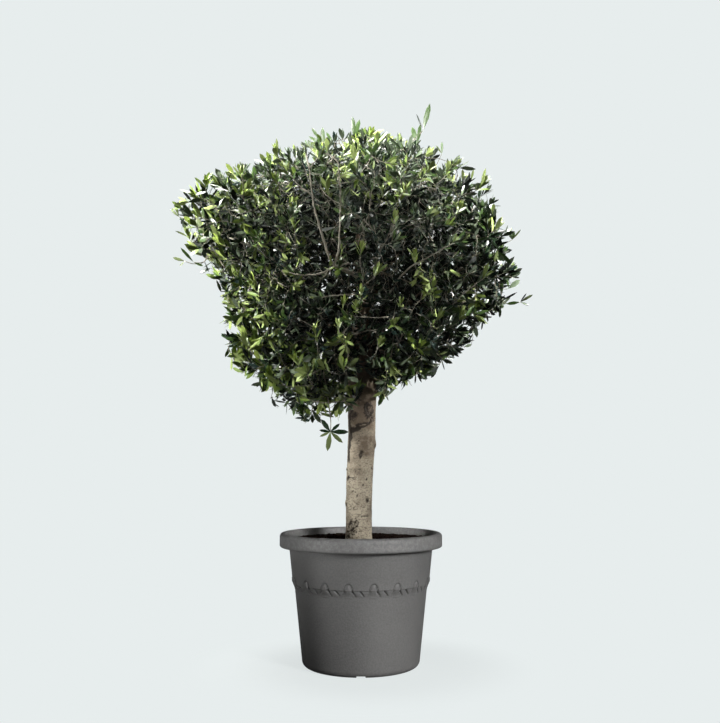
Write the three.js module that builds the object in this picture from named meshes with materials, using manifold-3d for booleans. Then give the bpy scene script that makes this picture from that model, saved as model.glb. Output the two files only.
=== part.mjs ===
// A potted olive tree: a round planter with a rolled rim and a garland band, filled with soil, and a
// standard olive with a clear trunk, boughs that fork inside the crown, and masses of foliage round them.
// Millimetres, +Z up. The origin is the middle of the planter's underside, and the tree's front is -Y.
import * as THREE from "three";
import { mergeVertices } from "three/addons/utils/BufferGeometryUtils.js";
import Module from "manifold-3d";

const wasm = await Module();
wasm.setup();

const gap = 0.3; // clearance between neighbouring solids

// Planter
const potSegments = 54;
const rimRadius = 275;
const rimTop = 436;
const rimBottom = 390;
const rimEdge = 10; // rounding of the rolled rim
const rimLip = [4, 8]; // slant of the rim's lower edge: inwards and up
const openingRadius = 256;
const openingEdge = [3, 4]; // slant of the rim's inner edge: outwards and down
const openingTaper = 6; // the opening narrows by this much down to the soil
const wallTop = 383;
const wallTopRadius = 242;
const wallThickness = 6;
const baseRadius = 197;
const baseCorner = 20;
const floorThickness = 16;
const channelCount = 4;
const channelWidth = 34;
const channelHeight = 7;
const channelSlant = 4; // of each side of a channel
const channelReach = 120; // where a channel starts, measured from the middle
const drainRadius = 8;
const drainPlace = 150;

// Garland band on the planter's wall: raised arches that hang over a ledge
const bandBottom = 248;
const bandTop = 296;
const ledge = 272;
const ledgeRun = 7; // half the height over which the wall steps in at the ledge
const ledgeStep = 5.5; // the wall above the ledge stands this much further out than the wall below it
const motifCount = 18;
const motifRelief = 3;
const hangShare = 0.7; // how much of the ledge's depth the arches fill below it
const bandRings = [0, 0.22, 0.4, 0.6, 0.8, 1];
const bandEdge = 1; // the arches start this far inside the band

// Soil and trunk
const soilTop = 412;
const soilShoulder = 4; // the planter's inside turns to its opening this far below the soil's top
const trunkSides = 16;
const trunkCourse = [ // height, lean to +X, radius
  [soilTop + gap, -8, 46.5], [426, -8, 44.8], [470, -8, 43.8], [590, -7, 44], [700, 0, 46.5],
  [770, 3, 47], [850, 5, 48], [930, 8, 50], [985, 9, 49.5], [1020, 10, 43], [1040, 10, 31],
];
const trunkReach = 50; // the trunk's widest radius
const trunkRidge = 1.3; // height of the low ridges that run up the trunk
const ridgeTwists = [190, 140]; // height over which the three and the five ridges turn by one radian
const ridgeShare = 0.7; // height of the five ridges, as a share of that of the three

// Crown: how far the foliage reaches from its heart, towards -X and towards +X, by elevation in degrees
const heart = new THREE.Vector3(-20, 0, 1370);
const crownReach = [
  [-90, 500, 500], [-75, 605, 505], [-60, 582, 486], [-38, 575, 508], [-16, 485, 555], [-6, 530, 590],
  [4, 600, 568], [16, 675, 570], [27, 580, 540], [45, 475, 518], [62, 450, 488], [78, 490, 474], [90, 475, 502],
];
const crownDepth = 0.98; // reach to the front and back, as a share of the reach to the sides
const hollowShare = 0.4; // the boughs' space in the middle of the crown
const hollowRadius = 112; // and round the trunk below it
const spaceMargin = 3; // from the border of a mass's space to its leaves
const limbClearance = 4;
const coreSideShare = 0.84; // the dense middle of a mass, as a share of its space towards its neighbours
const coreOuterShare = 0.52; // and towards the crown's outline
const coreStep = 4;
const massReach = 260; // no place of a mass lies further than this from its middle

// Masses of foliage, in rings round the heart: the first of a ring is turned by turn from the front
const rings = [
  { name: "low", elevation: -52, depth: 0.72, turn: -22, count: 5, twigs: 11, boughRadius: 12 },
  { name: "mid", elevation: -6, depth: 0.7, turn: 12, count: 6, twigs: 11, boughRadius: 18 },
  { name: "high", elevation: 38, depth: 0.68, turn: 34, count: 5, twigs: 10, boughRadius: 14 },
  { name: "top", elevation: 90, depth: 0.7, turn: 0, count: 1, twigs: 10, boughRadius: 27 },
];

// Shoots that stand out of the crown: where the last leaf ends, and the way it points
const shoots = [
  { tip: [244, -70, 1927], towards: [0.3, 0, 1] },
  { tip: [-66, -30, 1905], towards: [0.1, 0, 1] },
  { tip: [-676, 10, 1570], towards: [-0.85, 0, 0.55] },
  { tip: [-655, -20, 1392], towards: [-1, 0, 0.2] },
  { tip: [601, 0, 1256], towards: [1, 0, 0.15] },
  { tip: [-102, -90, 712], towards: [0, -0.05, -1] },
];

// Limbs and leaves
const boughSides = 7;
const nearAxis = 0.8; // a limb this close to an axis is measured round from another one
const boughTipShare = 0.52; // radius where a bough ends, as a share of its radius at the foot
const mainBoughHeights = [948, 990];
const mainBoughRise = 65; // degrees above the horizon at which a main bough leaves the trunk
const lowBoughRise = 6;
const highBoughRise = 53;
const lowBoughForks = 0.16; // place on a main bough
const boughSteps = 200; // steps in which a bough looks for the start of its mass's space
const boughMost = 0.95;
const boughRun = [0, 0.2, 0.4, 0.6, 0.8, 1]; // places of a bough's rings
const boughLeast = 0.32; // a bough runs at least this share of the way to its mass's middle
const leaderForks = [0.2, 0.36, 0.28, 0.44, 0.52];
const boughBend = 0.55; // how far a limb keeps its first direction, as a share of the way to its end
const stemBend = 0.4;
const stemEndRadius = 5;
const twigRadius = 4.2;
const twigTipRadius = 2.2;
const forkShare = 0.8; // radius of a twig at its fork, as a share of what it forks from
const twigBend = 0.42;
const forkTurn = 1.7; // the higher, the less a sharp turn at a fork costs against a long twig
const targetDepth = 0.06; // share of the reach within which the twigs' ends lie below the outline
const leafLength = 108;
const leafWidth = 38;
const leafThickness = 3.4;
const leafSink = 0.6; // the leaf's foot lies this far past the twig's axis
const leafBelly = 0.45; // place of a leaf's widest part
const leafSplay = 48; // degrees between a leaf and its twig
const splaySpread = 14;
const leafTurnUp = 0.3; // how much a leaf turns its face up
const leafSizes = [0.8, 1.1];
const endLeafSize = 0.99;
const nearUpright = 0.9; // on a twig this steep the leaves are turned from the side instead of from the top
const leafPairs = [0.6, 0.88]; // places of the leaf pairs along a twig
const candidates = 14;

const potMaterial = new THREE.MeshStandardMaterial({ color: 0x55585a, roughness: 0.62, metalness: 0 });
const soilMaterial = new THREE.MeshStandardMaterial({ color: 0x2b211a, roughness: 0.95, metalness: 0 });
const barkMaterial = new THREE.MeshStandardMaterial({ color: 0x988b78, roughness: 0.9, metalness: 0 });
const leafMaterial = new THREE.MeshStandardMaterial({ color: 0x4b5f3a, roughness: 0.6, metalness: 0 });

const up = new THREE.Vector3(0, 0, 1);
const degrees = THREE.MathUtils.degToRad;
const lerp = THREE.MathUtils.lerp;
const vector = (x, y, z) => new THREE.Vector3(x, y, z);

// A seeded run of numbers from 0 to 1
function makeRandom(seed) {
  let state = seed;
  return () => {
    state = (state + 0x6d2b79f5) | 0;
    let mixed = Math.imul(state ^ (state >>> 15), 1 | state);
    mixed = (mixed + Math.imul(mixed ^ (mixed >>> 7), 61 | mixed)) ^ mixed;
    return ((mixed ^ (mixed >>> 14)) >>> 0) / 4294967296;
  };
}

// A value read from rows of [key, value, ...], straight between them
function readRows(rows, key, column) {
  let row = 0;
  while (row < rows.length - 2 && rows[row + 1][0] < key) row += 1;
  const [low, high] = [rows[row], rows[row + 1]];
  const share = THREE.MathUtils.clamp((key - low[0]) / (high[0] - low[0]), 0, 1);
  return lerp(low[column], high[column], share);
}

function toSolid(geometry) {
  const bare = geometry.clone();
  bare.deleteAttribute("normal");
  bare.deleteAttribute("uv");
  const merged = mergeVertices(bare, 1e-3);
  const corners = merged.index.array;
  const triVerts = [];
  for (let i = 0; i < corners.length; i += 3) {
    const [a, b, c] = [corners[i], corners[i + 1], corners[i + 2]];
    if (a !== b && b !== c && c !== a) triVerts.push(a, b, c);
  }
  return new wasm.Manifold(new wasm.Mesh({
    numProp: 3,
    vertProperties: new Float32Array(merged.attributes.position.array),
    triVerts: new Uint32Array(triVerts),
  }));
}

// The largest body of a solid: loose scraps and sealed hollows are dropped
function largestBody(solid) {
  const bodies = solid.decompose();
  return bodies.reduce((best, body) => (body.volume() > best.volume() ? body : best));
}

function toMesh(solid, name, material) {
  const mesh = solid.getMesh();
  const geometry = new THREE.BufferGeometry();
  geometry.setAttribute("position", new THREE.BufferAttribute(new Float32Array(mesh.vertProperties), 3));
  geometry.setIndex(new THREE.BufferAttribute(new Uint32Array(mesh.triVerts), 1));
  geometry.computeVertexNormals();
  const node = new THREE.Mesh(geometry, material);
  node.name = name;
  return node;
}

// Closed skin over rings of points that all have the same number of points
function skinRings(ringPoints) {
  const sides = ringPoints[0].length;
  const positions = [];
  const index = [];
  const middle = (ring) => ring.reduce((sum, p) => sum.add(p), vector(0, 0, 0)).divideScalar(sides);
  ringPoints.forEach((ring) => ring.forEach((p) => positions.push(p.x, p.y, p.z)));
  for (let r = 0; r < ringPoints.length - 1; r += 1) {
    for (let s = 0; s < sides; s += 1) {
      const next = (s + 1) % sides;
      const [a, b] = [r * sides + s, r * sides + next];
      index.push(a, b, b + sides, a, b + sides, a + sides);
    }
  }
  const last = (ringPoints.length - 1) * sides;
  if (sides === 3) {
    index.push(2, 1, 0, last, last + 1, last + 2);
  } else {
    const ends = [middle(ringPoints[0]), middle(ringPoints.at(-1))];
    const centre = ringPoints.length * sides;
    ends.forEach((p) => positions.push(p.x, p.y, p.z));
    for (let s = 0; s < sides; s += 1) {
      const next = (s + 1) % sides;
      index.push(centre, next, s, centre + 1, last + s, last + next);
    }
  }
  const geometry = new THREE.BufferGeometry();
  geometry.setAttribute("position", new THREE.Float32BufferAttribute(positions, 3));
  geometry.setIndex(index);
  return geometry;
}

// Tapering round limb along a run of points; footAlong is the direction that its foot faces
function limbGeometry(points, startRadius, endRadius, sides, footAlong = null) {
  const ringPoints = [];
  let side = vector(1, 0, 0);
  points.forEach((point, i) => {
    const before = points[Math.max(i - 1, 0)];
    const after = points[Math.min(i + 1, points.length - 1)];
    const along = i === 0 && footAlong ? footAlong : after.clone().sub(before).normalize();
    if (i === 0 && Math.abs(along.x) > nearAxis) side = vector(0, 1, 0);
    side.addScaledVector(along, -side.dot(along)).normalize();
    const other = along.clone().cross(side);
    const radius = lerp(startRadius, endRadius, i / (points.length - 1));
    const ring = [];
    for (let s = 0; s < sides; s += 1) {
      const turn = (2 * Math.PI * s) / sides;
      const arm = side.clone().multiplyScalar(Math.cos(turn)).addScaledVector(other, Math.sin(turn));
      ring.push(point.clone().addScaledVector(arm, radius));
    }
    ringPoints.push(ring);
  });
  return skinRings(ringPoints);
}

// Distance from a point to a run of points
function distanceToRun(point, run) {
  let least = Infinity;
  const line = new THREE.Line3();
  const nearest = vector(0, 0, 0);
  for (let i = 0; i < run.length - 1; i += 1) {
    line.set(run[i], run[i + 1]).closestPointToPoint(point, true, nearest);
    least = Math.min(least, nearest.distanceTo(point));
  }
  return least;
}

const ledgeShare = (height) => THREE.MathUtils.smoothstep(height, ledge - ledgeRun, ledge + ledgeRun);

// Outside radius of the planter's plain wall at a height
function wallRadius(height) {
  const slope = (wallTopRadius - ledgeStep - baseRadius) / (wallTop - baseCorner);
  return baseRadius + slope * (height - baseCorner) + ledgeStep * ledgeShare(height);
}

// How far the garland stands out of the wall: below the ledge it is also as thick as the ledge is deep
function garlandRelief(height, turn) {
  const share = THREE.MathUtils.clamp((height - bandBottom) / (bandTop - bandBottom), 0, 1);
  const arch = Math.sin(Math.PI * share) * (0.5 - 0.5 * Math.cos(motifCount * turn));
  return arch * (motifRelief + hangShare * ledgeStep * (1 - ledgeShare(height)));
}

function innerProfile(clearance) {
  const bottom = floorThickness + clearance;
  const heights = [bottom, ledge - ledgeRun, ledge + ledgeRun, wallTop - wallThickness];
  const profile = heights.map((z) => [wallRadius(z) - wallThickness - clearance, z]);
  profile.push([openingRadius - openingTaper - clearance, soilTop - soilShoulder]);
  return profile;
}

function arc(centreRadius, centreHeight, radius, fromTurn, toTurn, steps) {
  const points = [];
  for (let i = 0; i <= steps; i += 1) {
    const turn = degrees(lerp(fromTurn, toTurn, i / steps));
    points.push([centreRadius + radius * Math.cos(turn), centreHeight + radius * Math.sin(turn)]);
  }
  return points;
}

function latheSolid(profile) {
  const geometry = new THREE.LatheGeometry(profile.map(([r, z]) => new THREE.Vector2(r, z)), potSegments);
  geometry.rotateX(Math.PI / 2);
  return geometry;
}

function makePot() {
  const profile = [
    [0, 0],
    ...arc(baseRadius - baseCorner, baseCorner, baseCorner, -90, 0, 3),
    ...bandRings.map((share) => lerp(bandBottom, bandTop, share)).map((z) => [wallRadius(z), z]),
    [wallTopRadius, wallTop],
    [rimRadius - rimLip[0], rimBottom],
    [rimRadius, rimBottom + rimLip[1]],
    ...arc(rimRadius - rimEdge, rimTop - rimEdge, rimEdge, 0, 90, 3),
    [openingRadius + openingEdge[0], rimTop],
    [openingRadius, rimTop - openingEdge[1]],
    ...innerProfile(0).reverse(),
    [0, floorThickness],
  ];
  const geometry = latheSolid(profile);
  const place = geometry.attributes.position;
  for (let i = 0; i < place.count; i += 1) {
    const [x, y, z] = [place.getX(i), place.getY(i), place.getZ(i)];
    const radius = Math.hypot(x, y);
    if (z > bandBottom + bandEdge && z < bandTop - bandEdge && radius > wallRadius(z) - bandEdge) {
      const scale = (radius + garlandRelief(z, Math.atan2(x, -y))) / radius;
      place.setXY(i, x * scale, y * scale);
    }
  }
  let solid = toSolid(geometry);
  for (let i = 0; i < channelCount; i += 1) {
    const turn = (2 * Math.PI * i) / channelCount;
    const outline = new THREE.Shape([
      new THREE.Vector2(-channelWidth / 2, -1),
      new THREE.Vector2(channelWidth / 2, -1),
      new THREE.Vector2(channelWidth / 2 - channelSlant, channelHeight),
      new THREE.Vector2(channelSlant - channelWidth / 2, channelHeight),
    ]);
    const channel = new THREE.ExtrudeGeometry(outline, { depth: baseRadius, bevelEnabled: false });
    channel.rotateX(Math.PI / 2).translate(0, -channelReach, 0).rotateZ(turn);
    const drain = new THREE.CylinderGeometry(drainRadius, drainRadius, 3 * floorThickness, 8);
    drain.rotateX(Math.PI / 2).translate(0, -drainPlace, 0).rotateZ(turn);
    solid = solid.subtract(toSolid(channel)).subtract(toSolid(drain));
  }
  return toMesh(largestBody(solid), "pot", potMaterial);
}

function makeSoil() {
  const wall = innerProfile(gap);
  const [topRadius] = wall.at(-1);
  const profile = [[0, floorThickness + gap], ...wall, [topRadius + 1, soilTop], [0, soilTop]];
  return toMesh(toSolid(latheSolid(profile)), "soil", soilMaterial);
}

// Middle of the trunk at a height
function trunkPoint(height) {
  return vector(readRows(trunkCourse, height, 1), 0, height);
}

function makeTrunkSolid(grown) {
  const ringPoints = trunkCourse.map(([height, lean, radius], row) => {
    const ring = [];
    for (let s = 0; s < trunkSides; s += 1) {
      const turn = (2 * Math.PI * s) / trunkSides;
      const three = Math.sin(3 * turn + height / ridgeTwists[0]);
      const five = Math.sin(5 * turn - height / ridgeTwists[1]);
      const ridge = trunkRidge * (three + ridgeShare * five);
      const reach = radius + ridge + grown;
      const rise = grown * (row === trunkCourse.length - 1 ? 1 : 0);
      ring.push(vector(lean + reach * Math.cos(turn), reach * Math.sin(turn), height + rise));
    }
    return ring;
  });
  return toSolid(skinRings(ringPoints));
}

// Unit direction at a turn from the front and an elevation, both in degrees
function directionOf(turn, elevation) {
  const flat = Math.cos(degrees(elevation));
  return vector(flat * Math.sin(degrees(turn)), -flat * Math.cos(degrees(turn)), Math.sin(degrees(elevation)));
}

// How far the crown reaches from its heart in a direction
function reachOf(direction) {
  const elevation = THREE.MathUtils.radToDeg(Math.asin(THREE.MathUtils.clamp(direction.z, -1, 1)));
  const flat = Math.hypot(direction.x, direction.y) || 1;
  const rightShare = 0.5 + 0.5 * (direction.x / flat);
  const reach = lerp(readRows(crownReach, elevation, 1), readRows(crownReach, elevation, 2), rightShare);
  return reach * lerp(1, crownDepth, Math.abs(direction.y));
}

// Place of a point between the heart, 0, and the crown's outline, 1
function crownShare(point) {
  const arm = point.clone().sub(heart);
  const length = arm.length();
  return length < 1 ? 0 : length / reachOf(arm.divideScalar(length));
}

const masses = [];
for (const ring of rings) {
  for (let i = 0; i < ring.count; i += 1) {
    const direction = directionOf(ring.turn + (360 * i) / ring.count, ring.elevation);
    const middle = heart.clone().addScaledVector(direction, ring.depth * reachOf(direction));
    const name = ring.count > 1 ? `${ring.name}_${i + 1}` : ring.name;
    masses.push({ name, ring, place: i, middle, seed: 101 + 17 * masses.length });
  }
}

// Whether a point lies in a mass's own part of space, margin away from the next mass
function inCell(mass, point, margin) {
  return masses.every((other) => {
    if (other === mass) return true;
    const apart = other.middle.distanceTo(mass.middle);
    const lead = other.middle.distanceToSquared(point) - mass.middle.distanceToSquared(point);
    return lead / (2 * apart) > margin;
  });
}

function inSpace(mass, point, margin) {
  const share = crownShare(point);
  if (share < hollowShare || share > 1) return false;
  if (point.z < heart.z && Math.hypot(point.x - heart.x / 2, point.y) < hollowRadius) return false;
  return inCell(mass, point, margin);
}

// Limbs: the path, and the radius at its foot and its tip
const limbs = new Map();
const trunkRun = trunkCourse.map(([height]) => trunkPoint(height));
limbs.set("trunk", { run: trunkRun, startRadius: trunkReach, endRadius: trunkReach });

function bentPath(start, startDirection, end, bend) {
  const reach = start.distanceTo(end);
  return new THREE.QuadraticBezierCurve3(start, start.clone().addScaledVector(startDirection, bend * reach), end);
}

// A bough runs from its foot towards the middle of its mass, and ends where it enters the mass's space
function growBough(mass, foot, footDirection, footRadius) {
  const path = bentPath(foot, footDirection, mass.middle, boughBend);
  let entry = Math.round(boughLeast * boughSteps);
  const last = boughMost * boughSteps;
  while (entry < last && !inSpace(mass, path.getPoint(entry / boughSteps), spaceMargin)) entry += 1;
  const share = entry / boughSteps;
  const tipRadius = footRadius * boughTipShare;
  const run = boughRun.map((part) => path.getPoint(part * share));
  const along = run.at(-1).clone().sub(run.at(-2)).normalize();
  mass.stemStart = run.at(-1).clone().addScaledVector(along, gap);
  mass.stemPath = bentPath(mass.stemStart, along, mass.middle, stemBend);
  mass.stemAlong = along;
  mass.stemRadius = tipRadius;
  limbs.set(`bough_${mass.name}`, { run, startRadius: footRadius, endRadius: tipRadius });
}

function limbPoint(limb, share) {
  const place = share * (limb.run.length - 1);
  const step = Math.min(Math.floor(place), limb.run.length - 2);
  return limb.run[step].clone().lerp(limb.run[step + 1], place - step);
}

const ofRing = (name) => masses.filter((mass) => mass.ring.name === name);

// Direction away from the middle of the tree towards a mass, at an elevation in degrees
function outwardTo(mass, elevation) {
  const outward = vector(mass.middle.x, mass.middle.y, 0).normalize();
  return outward.multiplyScalar(Math.cos(degrees(elevation))).addScaledVector(up, Math.sin(degrees(elevation)));
}

function growBoughs() {
  const [topMass] = ofRing("top");
  growBough(topMass, trunkRun.at(-1).clone().addScaledVector(up, gap), up, topMass.ring.boughRadius);
  ofRing("mid").forEach((mass, i) => {
    const foot = trunkPoint(mainBoughHeights[i % mainBoughHeights.length]);
    growBough(mass, foot, outwardTo(mass, mainBoughRise), mass.ring.boughRadius);
  });
  ofRing("low").forEach((mass) => {
    const carriers = ofRing("mid").map((mid) => limbs.get(`bough_${mid.name}`));
    const feet = carriers.map((limb) => limbPoint(limb, lowBoughForks));
    feet.sort((a, b) => a.distanceTo(mass.middle) - b.distanceTo(mass.middle));
    growBough(mass, feet[0], outwardTo(mass, lowBoughRise), mass.ring.boughRadius);
  });
  ofRing("high").forEach((mass, i) => {
    const foot = limbPoint(limbs.get("bough_top"), leaderForks[i]);
    growBough(mass, foot, outwardTo(mass, highBoughRise), mass.ring.boughRadius);
  });
}

function limbSolid(limb, grown) {
  const { run, startRadius, endRadius } = limb;
  return toSolid(limbGeometry(run, startRadius + grown, endRadius + grown, boughSides));
}

// Whether a point keeps clear of every limb
function clearOfLimbs(point, margin) {
  for (const { run, startRadius } of limbs.values()) {
    if (distanceToRun(point, run) < startRadius + margin) return false;
  }
  return true;
}

// The emptiest of a few seeded places in the mass's space, most of them near the crown's outline
function pickTarget(mass, taken, random) {
  let best = null;
  let bestRoom = -1;
  for (let i = 0; i < candidates; i += 1) {
    const turn = 360 * random();
    const rise = 2 * random() - 1;
    const flat = Math.sqrt(1 - rise * rise);
    const arm = vector(flat * Math.cos(degrees(turn)), flat * Math.sin(degrees(turn)), rise);
    const place = mass.middle.clone().addScaledVector(arm, massReach * Math.cbrt(random()));
    const outward = place.clone().sub(heart).normalize();
    const depth = 1 - targetDepth * random();
    const point = heart.clone().addScaledVector(outward, depth * reachOf(outward));
    if (!inSpace(mass, point, 2 * spaceMargin)) continue;
    const room = Math.min(...taken.map((other) => other.distanceTo(point)));
    if (room > bestRoom) {
      best = point;
      bestRoom = room;
    }
  }
  return best;
}

// The existing point of a mass that a new twig leaves most naturally
function pickFork(nodes, target) {
  let best = nodes[0];
  let least = Infinity;
  for (const node of nodes) {
    const arm = target.clone().sub(node.point);
    const length = arm.length();
    const forward = arm.dot(node.along) / (length || 1);
    const cost = length * (forkTurn - forward);
    if (cost < least) {
      least = cost;
      best = node;
    }
  }
  return best;
}

// A twig from a fork to a target; its points join the mass when all of them stay in its space
function growTwig(mass, nodes, target, free) {
  const fork = pickFork(nodes, target);
  const path = bentPath(fork.point, fork.along, target, twigBend);
  const run = [0, 0.5, 1].map((share) => path.getPoint(share));
  const fits = run.slice(1).every((point) => {
    const inside = free ? inCell(mass, point, spaceMargin) : inSpace(mass, point, spaceMargin + twigRadius);
    return inside && clearOfLimbs(point, limbClearance + twigRadius);
  });
  if (!fits) return null;
  const startRadius = Math.max(forkShare * fork.radius, twigTipRadius);
  for (let i = 1; i < run.length; i += 1) {
    const along = run[i].clone().sub(run[i - 1]).normalize();
    nodes.push({ point: run[i], along, radius: lerp(startRadius, twigTipRadius, i / (run.length - 1)) });
  }
  return { run, path, free, startRadius };
}

// One leaf: a long lozenge of eight faces whose foot is sunk into the twig
function leafShape(foot, towards, flatSide, size) {
  const across = towards.clone().cross(flatSide).normalize();
  const face = across.clone().cross(towards).normalize();
  const belly = foot.clone().addScaledVector(towards, leafBelly * leafLength * size);
  const tip = foot.clone().addScaledVector(towards, leafLength * size);
  const half = 0.5 * leafWidth * size;
  return {
    middle: belly,
    corners: [
      foot.clone().addScaledVector(towards, -leafSink),
      belly.clone().addScaledVector(across, half),
      belly.clone().addScaledVector(face, leafThickness / 2),
      belly.clone().addScaledVector(across, -half),
      belly.clone().addScaledVector(face, -leafThickness / 2),
      tip,
    ],
  };
}

function leafSolid({ corners }) {
  const geometry = new THREE.BufferGeometry().setFromPoints(corners);
  const index = [];
  for (let i = 0; i < 4; i += 1) {
    const [a, b] = [1 + i, 1 + ((i + 1) % 4)];
    index.push(0, a, b, 5, b, a);
  }
  geometry.setIndex(index);
  return toSolid(geometry);
}

const touches = (solid, other) => !solid.intersect(other).isEmpty();

// Leaves of a twig: opposite pairs, each turned a quarter from the last, and one leaf at its end.
// A leaf that would leave the mass's space, touch a limb or cross another twig or leaf is skipped. Only a
// shoot's leaves may stand out of the crown's outline, where no other mass has any.
function growLeaves(mass, twig, twigs, leaves, random) {
  const fits = (point) => {
    if (!twig.free) return inSpace(mass, point, spaceMargin);
    return crownShare(point) > 1 + targetDepth / 2 || inCell(mass, point, spaceMargin);
  };
  let quarter = random() * Math.PI;
  for (const place of [...leafPairs, 1]) {
    const foot = twig.path.getPoint(place);
    const along = twig.path.getTangent(place);
    const side = along.clone().cross(Math.abs(along.z) > nearUpright ? vector(1, 0, 0) : up).normalize();
    const arm = side.applyAxisAngle(along, quarter);
    const earlier = [...leaves];
    for (const way of place === 1 ? [0] : [1, -1]) {
      const splay = degrees(leafSplay + splaySpread * (random() - 0.5)) * way;
      const towards = along.clone().multiplyScalar(Math.cos(splay)).addScaledVector(arm, Math.sin(splay));
      const flatSide = arm.clone().cross(along).addScaledVector(up, leafTurnUp);
      const size = way ? lerp(...leafSizes, random()) : endLeafSize;
      const leaf = leafShape(foot, way ? towards : twig.towards, flatSide, size);
      leaf.solid = leafSolid(leaf);
      const spots = leaf.corners.slice(1);
      if (!spots.every(fits)) continue;
      if (![leaf.middle, ...spots].every((point) => clearOfLimbs(point, limbClearance))) continue;
      if (earlier.some((other) => touches(leaf.solid, other.solid))) continue;
      if (twigs.some((other) => other !== twig && touches(leaf.solid, other.solid))) continue;
      leaves.push(leaf);
    }
    quarter += Math.PI / 2;
  }
}

// The dense middle of a mass: a lump that follows the mass's own space and is cut clear of the limbs
function coreSolid(mass) {
  const geometry = new THREE.IcosahedronGeometry(1, 1);
  const place = geometry.attributes.position;
  const arm = vector(0, 0, 0);
  const outward = mass.middle.clone().sub(heart).normalize();
  const fits = (reach) => inSpace(mass, mass.middle.clone().addScaledVector(arm, reach), spaceMargin);
  for (let i = 0; i < place.count; i += 1) {
    arm.fromBufferAttribute(place, i).normalize();
    let reach = coreStep;
    while (reach < massReach && fits(reach + coreStep)) reach += coreStep;
    const share = lerp(coreSideShare, coreOuterShare, Math.max(arm.dot(outward), 0));
    arm.multiplyScalar(share * reach).add(mass.middle);
    place.setXYZ(i, arm.x, arm.y, arm.z);
  }
  let solid = toSolid(geometry);
  for (const [name, limb] of limbs) {
    const cutter = name === "trunk" ? makeTrunkSolid(limbClearance) : limbSolid(limb, limbClearance);
    if (touches(solid, cutter)) solid = solid.subtract(cutter);
  }
  return largestBody(solid);
}

function growMass(mass) {
  const random = makeRandom(mass.seed);
  const stemRun = [0, 0.5, 1].map((share) => mass.stemPath.getPoint(share));
  const stem = { solid: toSolid(limbGeometry(stemRun, mass.stemRadius, stemEndRadius, 5, mass.stemAlong)) };
  const nodes = [];
  for (let i = 1; i < stemRun.length; i += 1) {
    const along = stemRun[i].clone().sub(stemRun[i - 1]).normalize();
    nodes.push({ point: stemRun[i], along, radius: stemEndRadius });
  }
  const twigs = [stem];
  const taken = [mass.middle];
  for (let i = 0; i < mass.ring.twigs; i += 1) {
    const end = pickTarget(mass, taken, random);
    if (!end) continue;
    taken.push(end);
    // the leaf at a twig's end reaches the target, so the twig stops a leaf's length short of it
    const towards = end.clone().sub(heart).normalize().add(end.clone().sub(mass.middle).normalize()).normalize();
    const twig = growTwig(mass, nodes, end.clone().addScaledVector(towards, -leafLength), false);
    if (twig) twigs.push(Object.assign(twig, { towards }));
  }
  for (const shoot of shoots) {
    const tip = vector(...shoot.tip);
    if (!inCell(mass, tip, 0)) continue;
    const towards = vector(...shoot.towards).normalize();
    const twig = growTwig(mass, nodes, tip.clone().addScaledVector(towards, -leafLength), true);
    if (twig) twigs.push(Object.assign(twig, { towards }));
  }
  for (const twig of twigs.slice(1)) {
    twig.solid = toSolid(limbGeometry(twig.run, twig.startRadius, twigTipRadius, 3));
  }
  const leaves = [];
  const shootsFirst = twigs.slice(1).sort((a, b) => Number(b.free) - Number(a.free));
  for (const twig of shootsFirst) growLeaves(mass, twig, twigs, leaves, random);
  let solid = stem.solid.add(coreSolid(mass));
  for (const twig of twigs.slice(1)) solid = solid.add(twig.solid);
  for (const leaf of leaves) solid = solid.add(leaf.solid);
  return toMesh(largestBody(solid), `foliage_${mass.name}`, leafMaterial);
}

function makeTree() {
  growBoughs();
  const tree = new THREE.Group();
  tree.add(toMesh(makeTrunkSolid(0), "trunk", barkMaterial));
  const cutters = [makeTrunkSolid(gap)];
  for (const [name, limb] of limbs) {
    if (name === "trunk") continue;
    let solid = limbSolid(limb, 0);
    for (const cutter of cutters) solid = solid.subtract(cutter);
    tree.add(toMesh(largestBody(solid), name, barkMaterial));
    cutters.push(limbSolid(limb, gap));
  }
  for (const mass of masses) tree.add(growMass(mass));
  return tree;
}

const group = new THREE.Group();
group.add(makePot(), makeSoil(), makeTree());
export default group;
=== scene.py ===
# Potted olive tree in a pale studio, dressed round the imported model.
# Metres, +Z up. The middle of the planter's underside is the origin and the tree's front is -Y.
import math

import bpy
import numpy as np
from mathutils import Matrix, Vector, noise


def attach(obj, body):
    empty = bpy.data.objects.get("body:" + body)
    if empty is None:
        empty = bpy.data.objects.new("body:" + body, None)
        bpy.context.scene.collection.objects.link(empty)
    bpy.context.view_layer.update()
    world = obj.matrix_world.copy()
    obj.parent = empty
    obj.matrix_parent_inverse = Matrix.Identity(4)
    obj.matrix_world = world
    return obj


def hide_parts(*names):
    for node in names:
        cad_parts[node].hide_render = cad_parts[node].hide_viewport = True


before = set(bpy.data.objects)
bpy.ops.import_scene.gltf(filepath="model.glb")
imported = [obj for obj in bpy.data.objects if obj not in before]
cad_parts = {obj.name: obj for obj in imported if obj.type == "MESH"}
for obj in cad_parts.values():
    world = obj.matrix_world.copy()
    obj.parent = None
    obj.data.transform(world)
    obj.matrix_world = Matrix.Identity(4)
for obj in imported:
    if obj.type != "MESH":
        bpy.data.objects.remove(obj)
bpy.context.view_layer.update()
print("frame:", len(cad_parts), "nodes")


# Small helpers


def unit(vectors):
    return vectors / np.maximum(np.linalg.norm(vectors, axis=-1, keepdims=True), 1e-9)


def smoothStep(value, low, high):
    share = np.clip((value - low) / (high - low), 0, 1)
    return share * share * (3 - 2 * share)


def bell(value, middle, width, power=2):
    # 1 in the middle, falling to 0 on both sides
    return np.exp(-(((value - middle) / width) ** power))


def noiseOf(places, scale, shift=0.0):
    # soft noise from -1 to 1; scale is one number or one for each axis
    spots = np.asarray(places) * scale + shift
    return np.array([noise.noise(spot) for spot in spots.tolist()])


def roughOf(places, layers):
    # soft noise in layers, each with its height and its scale
    return sum(height * noiseOf(places, scale) for height, scale in layers)


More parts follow.
